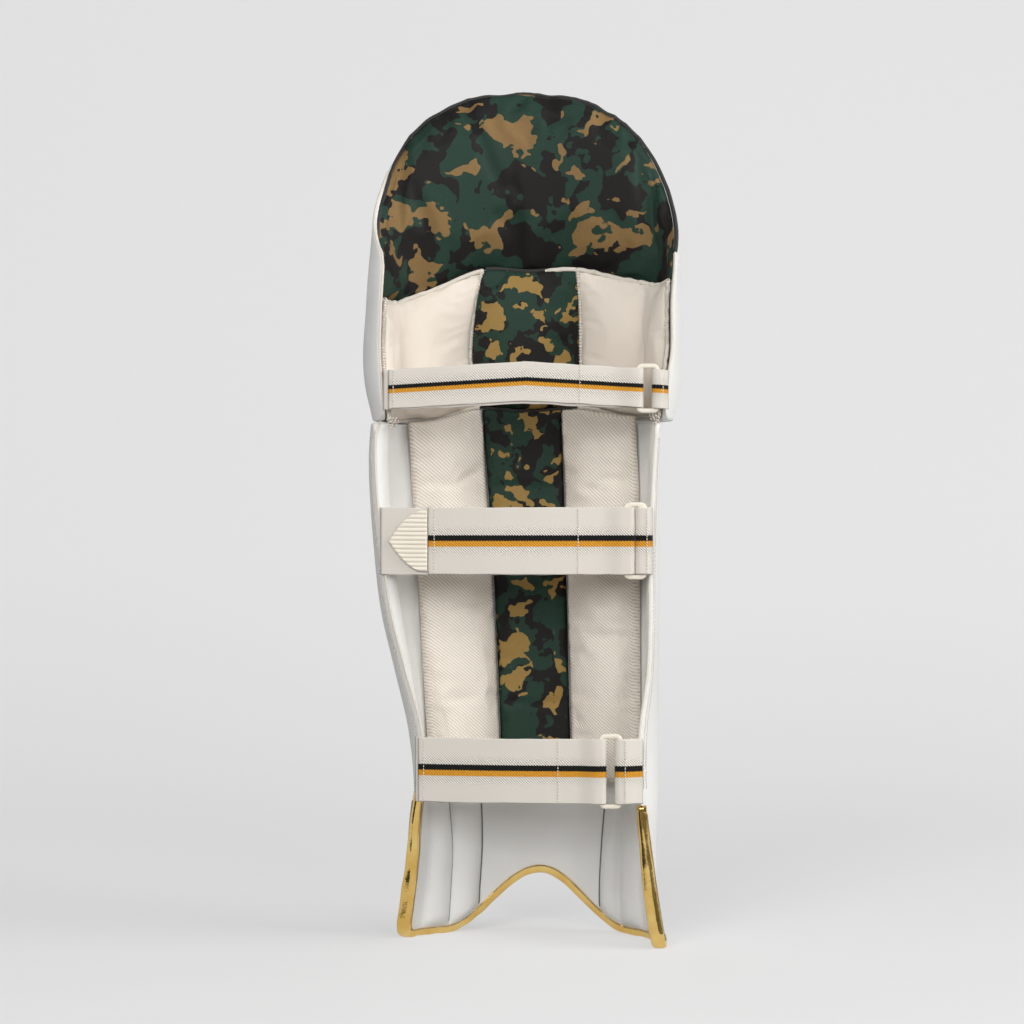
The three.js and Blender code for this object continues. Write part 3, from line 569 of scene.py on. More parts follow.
finish = {
    "leather": facingLeather(),
    "cotton": plainCotton("creamCotton", rgb(229, 218, 204), rgb(237, 227, 214)),
    "mesh": spacerMesh(),
    "camo": camouflage("camouflage", rgb(120, 94, 56), rgb(140, 111, 69), 0.9),
    "camoSmall": camouflage("camouflageSmall", rgb(142, 114, 60), rgb(160, 130, 72), 1.15),
    "webbing": stripedWebbing("stripedWebbing", 5.0 * mm),
    "narrowWebbing": stripedWebbing("narrowWebbing", 3.6 * mm),
    "foil": goldFoil(),
    "plastic": mouldedPlastic(),
    "creamThread": sewingThread("creamThread", rgb(214, 204, 190), rgb(240, 233, 222)),
    # dark thread: real on the top cushion's piping, painted shade on the cords in the gaps round the knee block
    "darkThreadAndGapShade": sewingThread("darkThreadAndGapShade", rgb(16, 16, 16), rgb(44, 43, 42), 0.55),
    # the grey and dark seam colours are painted shade in the grooves beside the instep's rolls
    "greySeamShade": sewingThread("greySeamShade", rgb(140, 147, 151), rgb(170, 176, 180)),
    "darkSeamShade": sewingThread("darkSeamShade", rgb(88, 95, 100), rgb(120, 127, 132)),
    "goldThread": sewingThread("goldThread", rgb(126, 112, 88), rgb(176, 160, 132), 0.6),
}
print("materials made:", len(finish))


# Shin part

instep = {"archX": 14 * mm, "archHalf": 87 * mm, "archRise": 53 * mm, "footRadius": 13 * mm,
          "bindTopL": 134 * mm, "bindTopR": 125 * mm, "gripped": 9 * mm}
binding = {"reach": 4.8 * mm, "skin": 1.2 * mm, "clear": 1 * mm, "nose": 1 * mm, "crinkle": 17 * mm,
           "lift": 0.14 * mm, "footLift": 0.3 * mm, "footHeight": 14 * mm, "step": 1.9 * mm, "sewnIn": 0.9 * mm}
shinShell = {"rows": 120, "edge": 3 * mm, "rolls": 7, "rollShare": 0.16, "rollHeight": 7 * mm,
             "rollEnd": 26 * mm, "insideHeight": 7 * mm, "insideTop": 127 * mm, "insideAt": 65 * mm,
             "insideFade": 12 * mm, "wingShare": 0.2, "wingLeft": 9 * mm, "wingRight": 1.5 * mm,
             "wingFrom": 170 * mm, "wingFull": 300 * mm, "seamFrom": 20 * mm, "seamFull": 138 * mm,
             "dents": 0.5 * mm}
insideRolls = mm * np.array([[-88, -64], [-63, -38], [71, 88], [88, 104]])  # x from, to


def lowerEdge(share):
    # flat feet with rounded outer corners and a cosine arch between them
    fromEdge = (1 - np.abs(share)) * wallLength(shinRows, 0.0, share)
    inCorner = np.maximum(0, instep["footRadius"] - fromEdge)
    foot = instep["footRadius"] - np.sqrt(np.maximum(instep["footRadius"] ** 2 - inCorner ** 2, 0))
    middle = wallAt(shinRows, 0.0, share, wall["thick"] / 2)[..., 0]
    fromArch = np.abs(middle - instep["archX"]) / instep["archHalf"]
    arch = np.where(fromArch < 1, instep["archRise"] / 2 * (1 + np.cos(pi * np.minimum(fromArch, 1))), 0)
    return foot + arch + binding["skin"] + binding["clear"]


def faceRoll(share):  # height of the rolls on the playing face
    at = share / shinShell["rollShare"] + shinShell["rolls"] / 2
    inside = (at > 0) & (at < shinShell["rolls"])
    return np.where(inside, crown(at - np.floor(at)), 0) * shinShell["rollHeight"]


def shinWallAt(share, height):
    # thickness without the rolls: the wings' edges thin upwards into their seams
    fromEdge = (1 - np.abs(share)) * wallLength(shinRows, height, share)
    seam = smooth(height, shinShell["seamFrom"], shinShell["seamFull"])
    return lerp(wall["thick"], pinched(fromEdge), seam)


def shinInside(share, height, clear):
    # the wall, a roll beside the wings' edges, and the sewn rolls inside the instep
    side = np.where(share < 0, shinShell["wingLeft"], shinShell["wingRight"])
    wing = crown((1 - np.abs(share)) / shinShell["wingShare"]) * side
    wing = wing * smooth(height, shinShell["wingFrom"], shinShell["wingFull"])
    ends = shareAt(shinRows, shinShell["insideAt"], insideRolls, wall["thick"])
    rolls = np.max([crown((share - a) / (b - a), 0.5) for a, b in ends], axis=0) * shinShell["insideHeight"]
    fadeFrom = shinShell["insideTop"] - shinShell["insideFade"]
    fade = (1 - smooth(height, fadeFrom, shinShell["insideTop"])) * clear
    return shinWallAt(share, height) + wing + rolls * fade


def buildShinShell():
    # two skins on the wall, rolls outside and inside, meeting in a rounded edge
    rim = np.array([0.9992, 0.9965, 0.9915, 0.983])
    share = np.concatenate([[-1], -rim, np.linspace(-0.972, 0.972, 215), rim[::-1], [1]])
    up = edgeSteps(shinShell["rows"], 0.007)
    share, rise = np.meshgrid(share, up)
    low, high = lowerEdge(share), wall["joint"] - wall["jointGap"] / 2 - jointCorner(shinRows, share)
    height = lerp(low, high, rise)
    clear = smooth(height - low, instep["gripped"], instep["gripped"] + 15 * mm)
    ends = smooth(wall["joint"] - height, 0, shinShell["rollEnd"]) ** 0.5
    length = wallLength(shinRows, height, share)
    dents = shinShell["dents"] * uneven(share * length, height, 3, 60 * mm) * clear
    outer = -faceRoll(share) * clear * ends + dents * np.minimum(faceRoll(share) / (2 * mm), 1)
    inner = shinInside(share, height, rounded(height - low - binding["reach"], 11 * mm))
    distance = np.minimum((1 - np.abs(share)) * length, np.minimum(height - low, high - height))
    edge = np.minimum(shinShell["edge"], (inner - outer) / 2)
    middle, half = (outer + inner) / 2, (inner - outer) / 2 * rounded(distance, edge)
    shape = wallPillow(shinRows, height, share, middle + half, middle - half)
    piece = addPiece("shinShell", shape, finish["leather"], ["shin_shell"])


def boundEdge():
    # the edge from the left wing down, round the foot, over the arch and up the right wing: share, height
    corner = instep["footRadius"] / wallLength(shinRows, 0.0, np.array([-1.0, 1.0]))
    bottom = lowerEdge(np.array([-1.0, 1.0]))
    turn = np.sin(pi / 2 * np.linspace(0.97, 0.06, 14))
    leftHeights = np.linspace(instep["bindTopL"], bottom[0] + 0.8 * mm, 40)
    rightHeights = np.linspace(bottom[1] + 0.8 * mm, instep["bindTopR"], 40)
    leftFoot, rightFoot = -1 + corner[0] * (1 - turn), 1 - corner[1] * (1 - turn[::-1])
    under = np.linspace(-1 + corner[0], 1 - corner[1], 190)
    share = np.concatenate([np.full(40, -1.0), leftFoot, under, rightFoot, np.full(40, 1.0)])
    low = lowerEdge(np.concatenate([leftFoot, under, rightFoot]))
    return share, np.concatenate([leftHeights, low, rightHeights])


def besideEdge(share, height, inward):
    # shares and heights of points inwards from the bound edge, at a right angle to it
    length = wallLength(shinRows, height, share)
    along = unit(np.stack([np.gradient(share) * length, np.gradient(height)], -1))
    z = height[:, None] + along[:, :1] * inward
    return share[:, None] - along[:, 1:] * inward / length[:, None], np.maximum(z, 0)


def alongEdge(share, height, inward, depth):
    s, z = besideEdge(share, height, inward)
    return wallAt(shinRows, z, s, depth)


def buildBinding():
    # a strip folded over the edge: straight sides and a half ellipse between, with crinkles across it
    share, height = boundEdge()
    turn = np.linspace(-pi / 2, pi / 2, 19)
    flat = np.linspace(1, 0, 7)[:-1]
    skin, clear, reach = binding["skin"], binding["clear"], binding["reach"]
    edgeWall, reachWall = [shinWallAt(*besideEdge(share, height, np.full((1, 1), at))) for at in (0, reach)]

    def section(out, nose):
        inward = np.concatenate([flat * reach, -nose * np.cos(turn), flat[::-1] * reach])
        fold = edgeWall / 2 + (edgeWall / 2 + out) * np.sin(turn)
        sides = -out + 0 * edgeWall * flat, lerp(edgeWall, reachWall, flat[::-1]) + out
        return inward, np.concatenate([sides[0], fold, sides[1]], 1)

    inwardOut, depthOut = section(clear + skin, clear + skin + binding["nose"])
    inwardIn, depthIn = section(clear, clear)
    rim = rounded(np.minimum(np.arange(31), 30 - np.arange(31)) * 1.0, 2.0)
    run = np.arange(len(share))[:, None] * binding["step"]
    fold = uneven(run + 0 * depthOut, depthOut * 0.5, 11, binding["crinkle"])
    nearFeet = np.exp(-(height / binding["footHeight"]) ** 2)
    lift = (binding["lift"] + binding["footLift"] * nearFeet)[:, None] * fold * rim
    inwardMid, depthMid = (inwardOut + inwardIn) / 2, (depthOut + depthIn) / 2
    away = unit(np.stack([inwardOut - inwardIn + 0 * depthOut, depthOut - depthIn], -1))
    outer = alongEdge(share, height, lerp(inwardMid, inwardOut, rim) + lift * away[..., 0],
                      lerp(depthMid, depthOut, rim) + lift * away[..., 1])
    inner = alongEdge(share, height, np.tile(lerp(inwardMid, inwardIn, rim), (len(share), 1)),
                      lerp(depthMid, depthIn, rim))
    outer[[0, -1]] = inner[[0, -1]] = (outer[[0, -1]] + inner[[0, -1]]) / 2
    addPiece("instepBinding", pillow(inner, outer), finish["foil"], ["instep_binding"])
    row = np.full((1, 1), reach - binding["sewnIn"])
    out = clear + skin
    faces = {"bindingStitchInside": reachWall + out, "bindingStitchOutside": 0 * reachWall - out}
    for name, side in faces.items():
        line, above = [alongEdge(share, height, row, depth)[:, 0]
                       for depth in (side, side + np.sign(side) * mm)]
        sewn = stitches(line[3:-3], unit(above - line)[3:-3], **sewing["binding"])
        addPiece(name, sewn, finish["goldThread"])


buildShinShell()
buildBinding()
print("shin shell and instep binding done")


# Cushions: each is a pillow on a wall; those in the list are swelled together as cloth further down
swelling = []
covers = {
    "kneeBolsterLeft": {"node": "knee_bolster_left", "cloth": "cotton", "slot": "cotton"},
    "kneeBlock": {"node": "knee_block", "cloth": "camoSmall", "slot": "camouflage"},
    "kneeBolsterRight": {"node": "knee_bolster_right", "cloth": "cotton", "slot": "cotton"},
    "topCushion": {"node": "top_cushion", "cloth": "camo", "slot": "camouflage"},
    "shinBolsterLeft": {"node": "shin_bolster_left", "cloth": "mesh", "slot": "mesh"},
    "shinStrip": {"node": "shin_strip", "cloth": "camoSmall", "slot": "camouflage"},
    "shinBolsterRight": {"node": "shin_bolster_right", "cloth": "mesh", "slot": "mesh"},
}


def puckers(u, v, width, height, spec, seed):
    # gathers that run in from the seams: waves along each seam, fading with the distance from it
    waveU = uneven(u * width, 0 * v, seed, spec["pitch"])
    waveV = uneven(v * height, 0 * u, seed + 1, spec["pitch"])
    nearU = np.exp(-np.minimum(u, 1 - u) * width / spec["fade"])
    nearV = np.exp(-np.minimum(v, 1 - v) * height / spec["fade"])
    return spec["deep"] * (nearV * waveU + nearU * waveV)


def addCushion(name, spec, rows, place, powers, lift=wall["seam"] / 2, crease=0.0, push=0.0):
    # back on the seat, front crowned by the product of two rounded waves, both meeting at the seam,
    # which is lifted off the seat; the push moves the front straight towards the leg
    u, v, share, height, base = [place[key] for key in ("u", "v", "share", "height", "base")]
    width, tall = place["size"]
    cover = covers[name]
    start = spec["thick"] * spec["start"]
    rise = crown(u, powers[0]) * crown(v, powers[1])
    gather = puckers(u, v, width, tall, spec["puckers"], spec["seed"]) * np.minimum(rise * 2, 1)
    frontDepth = base + lift + (start - lift) * rise + gather - crease * np.minimum(rise * 3, 1)
    backDepth = base + lift * (1 - crown(u, 0.25) * crown(v, 0.25))
    front, back = wallAt(rows, height, share, frontDepth), wallAt(rows, height, share, backDepth)
    front[..., 1] -= push * np.minimum(rise * 1.3, 1)
    weave = np.stack([share * wallLength(rows, height, share), height], -1)
    piece = addPiece(name, pillow(front, back), finish[cover["cloth"]], [cover["node"]],
                     pillowValues(weave, weave))
    held = pillowValues(1.0 * (rise < 1e-6), np.ones_like(rise)) > 0.5
    loose = pillowValues(np.minimum(rise * 1.4, 1), 0 * rise)
    swelling.append((piece, spec, held, loose))


def cushionGrid(columns, rows, bias=0.45):
    # steps that crowd towards the seams, where the cushion is steepest
    def crowd(count):
        t = np.linspace(0, 1, count)
        return lerp(t, (1 - np.cos(pi * t)) / 2, bias)
    return np.meshgrid(crowd(columns), crowd(rows))


kneeCushions = {"blockL": -41 * mm, "blockR": 51 * mm, "bowL": -6 * mm, "bowR": 2 * mm, "at": 525 * mm,
                "reach": 0.992, "columns": 52, "rows": 58, "powers": (0.36, 0.36), "lift": 8.5 * mm}
kneeBolster = {"thick": 24 * mm, "start": 0.86, "move": 6 * mm, "grow": 0.012, "seed": 21, "push": 9 * mm,
               "puckers": {"deep": 0.4 * mm, "fade": 9 * mm, "pitch": 7 * mm}}
kneeBlock = {"thick": 27 * mm, "start": 0.86, "move": 6 * mm, "grow": 0.02, "seed": 31,
             "puckers": {"deep": 0.5 * mm, "fade": 10 * mm, "pitch": 12 * mm}}


def seamX(share):
    return wallAt(thighRows, kneeCushions["at"], share, wall["thick"])[..., 0]


def kneeSeams(share):
    found = smoothRows(kneeSeamRows, seamX(share))
    return found[..., 0], found[..., 1]


def kneeEdge(x, bow, side):
    # share of a bowed seam between two knee cushions at each v
    half = wall["gap"] / 2 / wallLength(thighRows, kneeCushions["at"], 1.0)
    return lambda v: shareAt(thighRows, kneeCushions["at"], x + bow * crown(v), wall["thick"]) + side * half


def kneePlace(u, v, fromAt, toAt):
    share = lerp(fromAt(v), toAt(v), u)
    top, bottom = kneeSeams(share)
    height = lerp(bottom, top, v)
    return share, height, thighInside(share, height) + wall["seat"]


def kneeLift(u, v, outer):
    # the seams stand further off the wall towards the top, but not beside the wing's edge (outer, as u)
    away = 1 if outer is None else smooth(np.abs(u - outer), 0, 0.35)
    return wall["seam"] / 2 + kneeCushions["lift"] * away * smooth(v, 0.3, 1)


def buildKneeCushions():
    u, v = cushionGrid(kneeCushions["columns"], kneeCushions["rows"])
    reach = kneeCushions["reach"]
    left = [kneeEdge(kneeCushions["blockL"], kneeCushions["bowL"], side) for side in (-1, 1)]
    right = [kneeEdge(kneeCushions["blockR"], kneeCushions["bowR"], side) for side in (-1, 1)]
    ends = [lambda v, end=end: np.full_like(v, end * reach) for end in (-1, 1)]
    edges = {"kneeBolsterLeft": (ends[0], left[0], 0.0), "kneeBlock": (left[1], right[0], None),
             "kneeBolsterRight": (right[1], ends[1], 1.0)}
    for name, (fromAt, toAt, outer) in edges.items():
        spec = kneeBlock if outer is None else kneeBolster
        share, height, base = kneePlace(u, v, fromAt, toAt)
        size = (np.ptp(share) * wallLength(thighRows, kneeCushions["at"], 1.0), np.ptp(height))
        push = 0 if outer is None else spec["push"] * (1 - smooth(np.abs(u - outer), 0.1, 0.6))
        place = {"u": u, "v": v, "share": share, "height": height, "base": base, "size": size}
        addCushion(name, spec, thighRows, place, kneeCushions["powers"], kneeLift(u, v, outer), push=push)
    return edges


topCushion = {"thick": 15 * mm, "start": 0.86, "move": 6 * mm, "grow": 0.03, "seed": 41, "columns": 110,
              "rows": 62, "reach": 0.997, "tall": 175 * mm, "powers": (0.42, 0.36), "lift": 0.4 * mm,
              "puckers": {"deep": 0.8 * mm, "fade": 14 * mm, "pitch": 22 * mm}}
# creases of the top cushion: x and height of their upper and lower ends, width, depth
topCreases = mm * np.array([
    [-52, 742, -14, 650, 6, 3.4], [-30, 738, -8, 690, 8, 1.5], [-4, 640, -12, 592, 9, 2.6],
    [42, 636, 34, 596, 8, 1.8], [-70, 620, -66, 582, 7, 1.6], [84, 640, 92, 590, 8, 1.4],
    [28, 742, 22, 712, 5, 1.2],
])


def creases(x, z, rows):
    # bell curve of the distance from each line, strongest at its upper end
    total = 0 * x
    for x0, z0, x1, z1, width, deep in rows:
        share = ((x - x0) * (x1 - x0) + (z - z0) * (z1 - z0)) / ((x1 - x0) ** 2 + (z1 - z0) ** 2)
        t = np.clip(share, 0, 1)
        away = np.hypot(x - lerp(x0, x1, t), z - lerp(z0, z1, t))
        total = total + deep * np.exp(-(away / width) ** 2) * smooth(1.15 - t, 0, 0.6)
    return total


def buildTopCushion():
    u, v = cushionGrid(topCushion["columns"], topCushion["rows"], 0.3)
    share = lerp(-1, 1, u) * topCushion["reach"]
    low = kneeSeams(share)[0] + 1.5 * wall["gap"]
    height = lerp(low, topArch(share) - wall["gap"], v)
    rim = np.minimum(crown(u, 0.5), crown(v, 0.5))
    base = thighInside(share, height) + wall["seat"] * lerp(0.25, 1, smooth(rim, 0, 0.6))
    crease = creases(wallAt(thighRows, height, share, base)[..., 0], height, topCreases)
    place = {"u": u, "v": v, "share": share, "height": height, "base": base,
             "size": (topSeam["length"], topCushion["tall"])}
    addCushion("topCushion", topCushion, thighRows, place, topCushion["powers"], topCushion["lift"], crease)


shinCushions = {"bottom": 136 * mm, "tall": 310 * mm, "overJoint": 3 * mm, "overFrom": 60 * mm, "rows": 112}
shinBolster = {"thick": 24 * mm, "start": 0.86, "move": 5 * mm, "grow": 0.02, "seed": 51, "columns": 36,
               "powers": (0.35, 0.25),
               "puckers": {"deep": 0.25 * mm, "fade": 11 * mm, "pitch": 16 * mm}}
shinStrip = {"thick": 9 * mm, "start": 0.9, "move": 2 * mm, "grow": 0.01, "seed": 61, "columns": 30,
             "powers": (0.3, 0.25),
             "puckers": {"deep": 0.2 * mm, "fade": 8 * mm, "pitch": 14 * mm}}


def buildShinCushions():
    half = wall["gap"] / 2
    last = shinCushionRows[-1, 1:]
    for name, spec, edges, insets in (
            ("shinBolsterLeft", shinBolster, (0, 1), (0, -half)),
            ("shinStrip", shinStrip, (1, 2), (half, -half)),
            ("shinBolsterRight", shinBolster, (2, 3), (half, 0))):
        u, v = cushionGrid(spec["columns"], shinCushions["rows"], 0.35)
        topX = lerp(last[edges[0]], last[edges[1]], u)
        high = smoothRows(kneeSeamRows, topX)[..., 1] - 2 * wall["gap"]
        height = lerp(shinCushions["bottom"], high, v)
        found = smoothRows(shinCushionRows, height)
        ends = [shareAt(shinRows, height, found[..., edge] + inset, wall["thick"])
                for edge, inset in zip(edges, insets)]
        nearJoint = smooth(height, wall["joint"] - shinCushions["overFrom"], wall["joint"])
        base = wall["thick"] + wall["seat"] + shinCushions["overJoint"] * nearJoint
        size = (np.abs(last[edges[1]] - last[edges[0]]), shinCushions["tall"])
        share = lerp(ends[0], ends[1], u)
        place = {"u": u, "v": v, "share": share, "height": height, "base": base, "size": size}
        addCushion(name, spec, shinRows, place, spec["powers"])


kneeEdges = buildKneeCushions()
buildTopCushion()
buildShinCushions()
print("cushions laid out:", len(swelling))

clothFrames = 20
clothSettings = {"vertex_group_mass": "held", "quality": 6, "mass": 0.25, "tension_stiffness": 18.0,
                 "compression_stiffness": 18.0, "bending_stiffness": 0.6, "use_pressure": True,
                 "uniform_pressure_force": 4.0}


def swellCushions():
    # every cushion is cloth held at its seams and back: pressure fills it, a little spare cloth wrinkles it
    scene = bpy.context.scene
    for piece, spec, held, loose in swelling:
        group = piece.vertex_groups.new(name="held")
        group.add(np.flatnonzero(held).tolist(), 1.0, "REPLACE")
        cloth = piece.modifiers.new("swell", "CLOTH")
        for setting, value in clothSettings.items():
            setattr(cloth.settings, setting, value)
        cloth.settings.shrink_min = -spec["grow"]
        cloth.settings.effector_weights.gravity = 0.0
        cloth.point_cache.frame_start, cloth.point_cache.frame_end = 1, clothFrames
    for step in range(1, clothFrames + 1):
        scene.frame_set(step)
    graph = bpy.context.evaluated_depsgraph_get()
    for piece, spec, held, loose in swelling:
        count = len(piece.data.vertices)
        before, after = np.empty(count * 3, np.float32), np.empty(count * 3, np.float32)
        piece.data.vertices.foreach_get("co", before)
        piece.evaluated_get(graph).data.vertices.foreach_get("co", after)
        move = (after - before).reshape(-1, 3)
        reach = np.linalg.norm(move, axis=1, keepdims=True)
        most = spec["move"] * loose[:, None]
        capped = move * np.minimum(1, most / np.maximum(reach, 1e-9))  # no point moves further than its limit
        print(piece.name, "swelled by up to", round(float(reach.max()) / mm, 1), "mm")
        piece.modifiers.clear()
        piece.vertex_groups.clear()
        piece.data.vertices.foreach_set("co", (before.reshape(-1, 3) + capped).astype(np.float32).ravel())
        piece.data.update()
    scene.frame_set(1)


swellCushions()
print("cushions swelled")


# Thigh part

thighShell = {"columns": 150, "rows": 80, "edge": 1.5 * mm, "dents": 0.6 * mm}
kneeRolls = {"count": 3, "bottom": 464 * mm, "pitch": 38 * mm, "share": 0.66, "height": 19 * mm}


def buildThighShell():
    # two skins on the wall, pinched towards the top and rear edges, meeting in a rounded edge
    share, rise = np.meshgrid(lerp(-1, 1, edgeSteps(thighShell["columns"], 0.004)),
                              edgeSteps(thighShell["rows"], 0.007))
    low, high = wall["joint"] + wall["jointGap"] / 2 + jointCorner(thighRows, share), topArch(share)
    height = lerp(low, high, rise)
    length = wallLength(thighRows, height, share)
    distance = np.minimum((1 - np.abs(share)) * length, np.minimum(height - low, high - height))
    dents = thighShell["dents"] * uneven(share * length, height, 7, 70 * mm)
    dents = dents * smooth(distance, 4 * mm, 30 * mm)
    inner = thighInside(share, height)
    half = inner / 2 * rounded(distance, thighShell["edge"])
    shape = wallPillow(thighRows, height, share, inner / 2 + half, inner / 2 - half + dents)
    piece = addPiece("thighShell", shape, finish["leather"], ["thigh_shell"])


def buildKneeRolls():
    # a crowned roll for each row, flat against the wall
    u, v = np.meshgrid(edgeSteps(120, 0.006), edgeSteps(26, 0.02))
    for roll in range(kneeRolls["count"]):
        share = lerp(-kneeRolls["share"], kneeRolls["share"], u)
        height = kneeRolls["bottom"] + roll * kneeRolls["pitch"] + v * (kneeRolls["pitch"] - wall["gap"])
        rise = crown(v) * crown(u, 0.3)
        half = wall["seam"] / 2
        gather = 0.5 * mm * uneven(u * 300 * mm, v * 9 * mm, 71 + roll, 24 * mm) * crown(v, 1)
        outer = wall["seat"] + half + (kneeRolls["height"] - half) * rise + gather * rise
        inner = wall["seat"] + half * (1 - crown(u, 0.25) * crown(v, 0.25))
        shape = wallPillow(thighRows, height, share, -inner, -outer)
        piece = addPiece(f"kneeRoll{roll + 1}", shape, finish["leather"], [f"knee_roll_{roll + 1}"])


buildThighShell()
buildKneeRolls()
print("thigh shell and knee rolls done")


# Straps, tabs, loops and the pull

webbing = {"thick": 1.5 * mm, "gap": 0.4 * mm, "spread": 18 * mm, "edge": 0.7 * mm, "wave": 0.35 * mm}
loopFrame = {"width": 21 * mm, "turned": 3.2 * mm, "thick": 3 * mm, "overhang": 4 * mm, "corner": 6 * mm}
turnRadius = np.hypot(loopFrame["thick"], loopFrame["turned"]) / 2 + webbing["gap"] + webbing["thick"] / 2
straps = {
    "knee": {"at": 485, "width": 34, "left": -121.5, "over": -117, "loop": 107.8, "slot": 12, "right": 126,
             "bow": 8, "peak": 7, "sag": 2.2, "sewn": [-112.5, 49], "tabSewn": [121], "cloth": "narrowWebbing"},
    "calf": {"at": 354, "width": 58, "left": -124, "over": -82.5, "loop": 97, "slot": 5, "right": 112.5,
             "bow": 9, "peak": 0, "sag": 0.6, "sewn": [-77, 47.5], "tabSewn": [107], "cloth": "webbing"},
    "ankle": {"at": 155, "width": 56, "left": -94, "over": -91.5, "loop": 75.5, "slot": 12, "right": 103.5,
              "bow": 7, "peak": 0, "sag": 0.4, "sewn": [-86.5, 30], "tabSewn": [88], "cloth": "webbing"},
}


def strapLine(spec, x):
    # straight line between the two wings' rear edges, bowed away from the leg by half a sine wave
    rows = thighRows if spec["at"] * mm > wall["joint"] else shinRows
    heights = spec["at"] * mm + spec["width"] * mm * np.linspace(-0.5, 0.5, 5)
    rest = webbing["thick"] / 2 + webbing["gap"]
    leftY, rightY = [wallAt(rows, heights, np.full(5, side), 0)[:, 1].min() - rest for side in (-1.0, 1.0)]
    t = np.clip((x - spec["left"] * mm) / ((spec["right"] - spec["left"]) * mm), 0, 1)
    return lerp(leftY, rightY, t) - spec["bow"] * mm * np.sin(pi * t)


def strapHeight(spec, x):  # middle of the strap, with a low peak where it is creased
    share = np.abs(2 * x - (spec["left"] + spec["right"]) * mm) / ((spec["right"] - spec["left"]) * mm)
    return (spec["at"] + spec["peak"] * (1 - share)) * mm


def halfTurn(x, y, side):  # plan of the webbing's turn round an upright bar
    angle = np.linspace(pi / 2, -pi / 2, 15)
    return np.stack([x + side * turnRadius * np.cos(angle), y + turnRadius * np.sin(angle)], -1)


def ribbon(spec, plan, seed):
    # webbing along a path in plan: two skins half a thickness to either side, rounded at every edge
    plan = resample(plan, 1.6 * mm)
    width = spec["width"] * mm
    across = lerp(-0.5, 0.5, edgeSteps(22, 0.02)) * width
    run = np.concatenate([[0], np.cumsum(np.linalg.norm(np.diff(plan, axis=0), axis=1))])
    along = unit(np.gradient(plan, axis=0))
    normal = np.stack([-along[:, 1], along[:, 0], 0 * run], -1)[:, None]
    fromEnd = np.minimum(run, run[-1] - run)[:, None]
    half = webbing["thick"] / 2 * rounded(np.minimum(fromEnd, width / 2 - np.abs(across)), webbing["edge"])
    edgeWave = webbing["wave"] * uneven(run, 0 * run, seed, 34 * mm)[:, None]
    edgeWave = edgeWave * (2 * np.abs(across) / width) ** 2
    sag = spec["sag"] * mm * np.sin(pi * np.clip(2 * run / run[-1], 0, 1)) ** 0.5
    z = (strapHeight(spec, plan[:, 0]) - sag)[:, None] + across + 0.6 * edgeWave * np.sign(across)
    middle = np.stack([plan[:, :1] + 0 * z, plan[:, 1:] + edgeWave * 0.5 + 0 * z, z], -1)
    outside, inside = middle + normal * half[..., None], middle - normal * half[..., None]
    place = np.stack([run[:, None] + 0 * z, across + 0 * z], -1)
    plain = place + np.array([0, 1.0])  # the reverse has no stripes
    return pillow(outside, inside), pillowValues(place, plain), (width, run[-1])


def addRibbon(name, spec, plan, node, seed):
    shape, weave, flat = ribbon(spec, plan, seed)
    piece = addPiece(name, shape, finish[spec["cloth"]], [node], weave)
    print(name, "cut to", [round(float(side) / mm) for side in flat], "mm")


def strapPlans(spec):
    # the strap runs to the loop's left bar, round it and back over itself; the tab holds the right bar
    left, over, loop, right = [spec[key] * mm for key in ("left", "over", "loop", "right")]
    layer = webbing["thick"] + webbing["gap"]
    offset = (spec["slot"] * mm + loopFrame["turned"]) / 2
    loopY = strapLine(spec, loop) - turnRadius
    clear = loopFrame["width"] / 2 + webbing["gap"]
    barX, tabX = loop - offset, loop + offset
    tabEnd = min(loop + clear + webbing["spread"], right)

    def layerY(x, side, near):  # between the layers on the wings and those round a bar
        return lerp(strapLine(spec, x) - (layer if side < 0 else 0), loopY + side * turnRadius, near)

    def strapY(x, side):
        return layerY(x, side, smooth(x, loop - clear - webbing["spread"], loop - clear))

    def tabY(x, side):
        return layerY(x, side, 1 - smooth(x, loop + clear, tabEnd))

    inX, outX = np.linspace(left, barX, 80)[:-1], np.linspace(barX, over, 80)[1:]
    tabIn, tabOut = np.linspace(right, tabX, 20)[:-1], np.linspace(tabX, right, 20)[1:]

    def there(fromX, toX, bar, side, surface):  # out along one layer, round the bar and back along the other
        return np.concatenate([np.stack([fromX, surface(fromX, 1)], -1), halfTurn(bar, loopY, side),
                               np.stack([toX, surface(toX, -1)], -1)])

    plan, tabPlan = there(inX, outX, barX, 1, strapY), there(tabIn, tabOut, tabX, -1, tabY)
    return plan, tabPlan, loop, loopY, strapY, tabY


def oblong(width, height, corner):
    # points round an oblong with rounded corners, seven to a corner
    turn = np.linspace(0, pi / 2, 7) + np.arange(4)[:, None] * pi / 2
    centres = np.array([[1, 1], [-1, 1], [-1, -1], [1, -1]]) * [width / 2 - corner, height / 2 - corner]
    return (centres[:, None] + corner * np.stack([np.cos(turn), np.sin(turn)], -1)).reshape(-1, 2)


def addLoop(name, spec, x, y, node):
    # a frame between two oblongs: a rounded square section is carried round between them
    inside = spec["width"] * mm + 2 * webbing["gap"]
    outer = oblong(loopFrame["width"], inside + 2 * loopFrame["overhang"], loopFrame["corner"])
    inner = oblong(spec["slot"] * mm, inside, loopFrame["corner"] / 6)
    around = np.linspace(0, 2 * pi, 16, endpoint=False)
    square = lambda wave: np.sign(wave) * np.abs(wave) ** 0.6
    flat = (outer + inner)[:, None] / 2 + (outer - inner)[:, None] / 2 * square(np.cos(around))[:, None]
    deep = loopFrame["thick"] / 2 * square(np.sin(around)) + 0 * flat[..., 0]
    points = np.stack([x + flat[..., 0], y + deep, strapHeight(spec, x) + flat[..., 1]], -1)
    addPiece(name, ring(points), finish["plastic"], [node])


pull = {"tipX": -117 * mm, "height": 53 * mm, "thick": 2.6 * mm, "rib": 0.9 * mm, "ribs": 14, "least": 4 * mm,
        "power": 0.55}


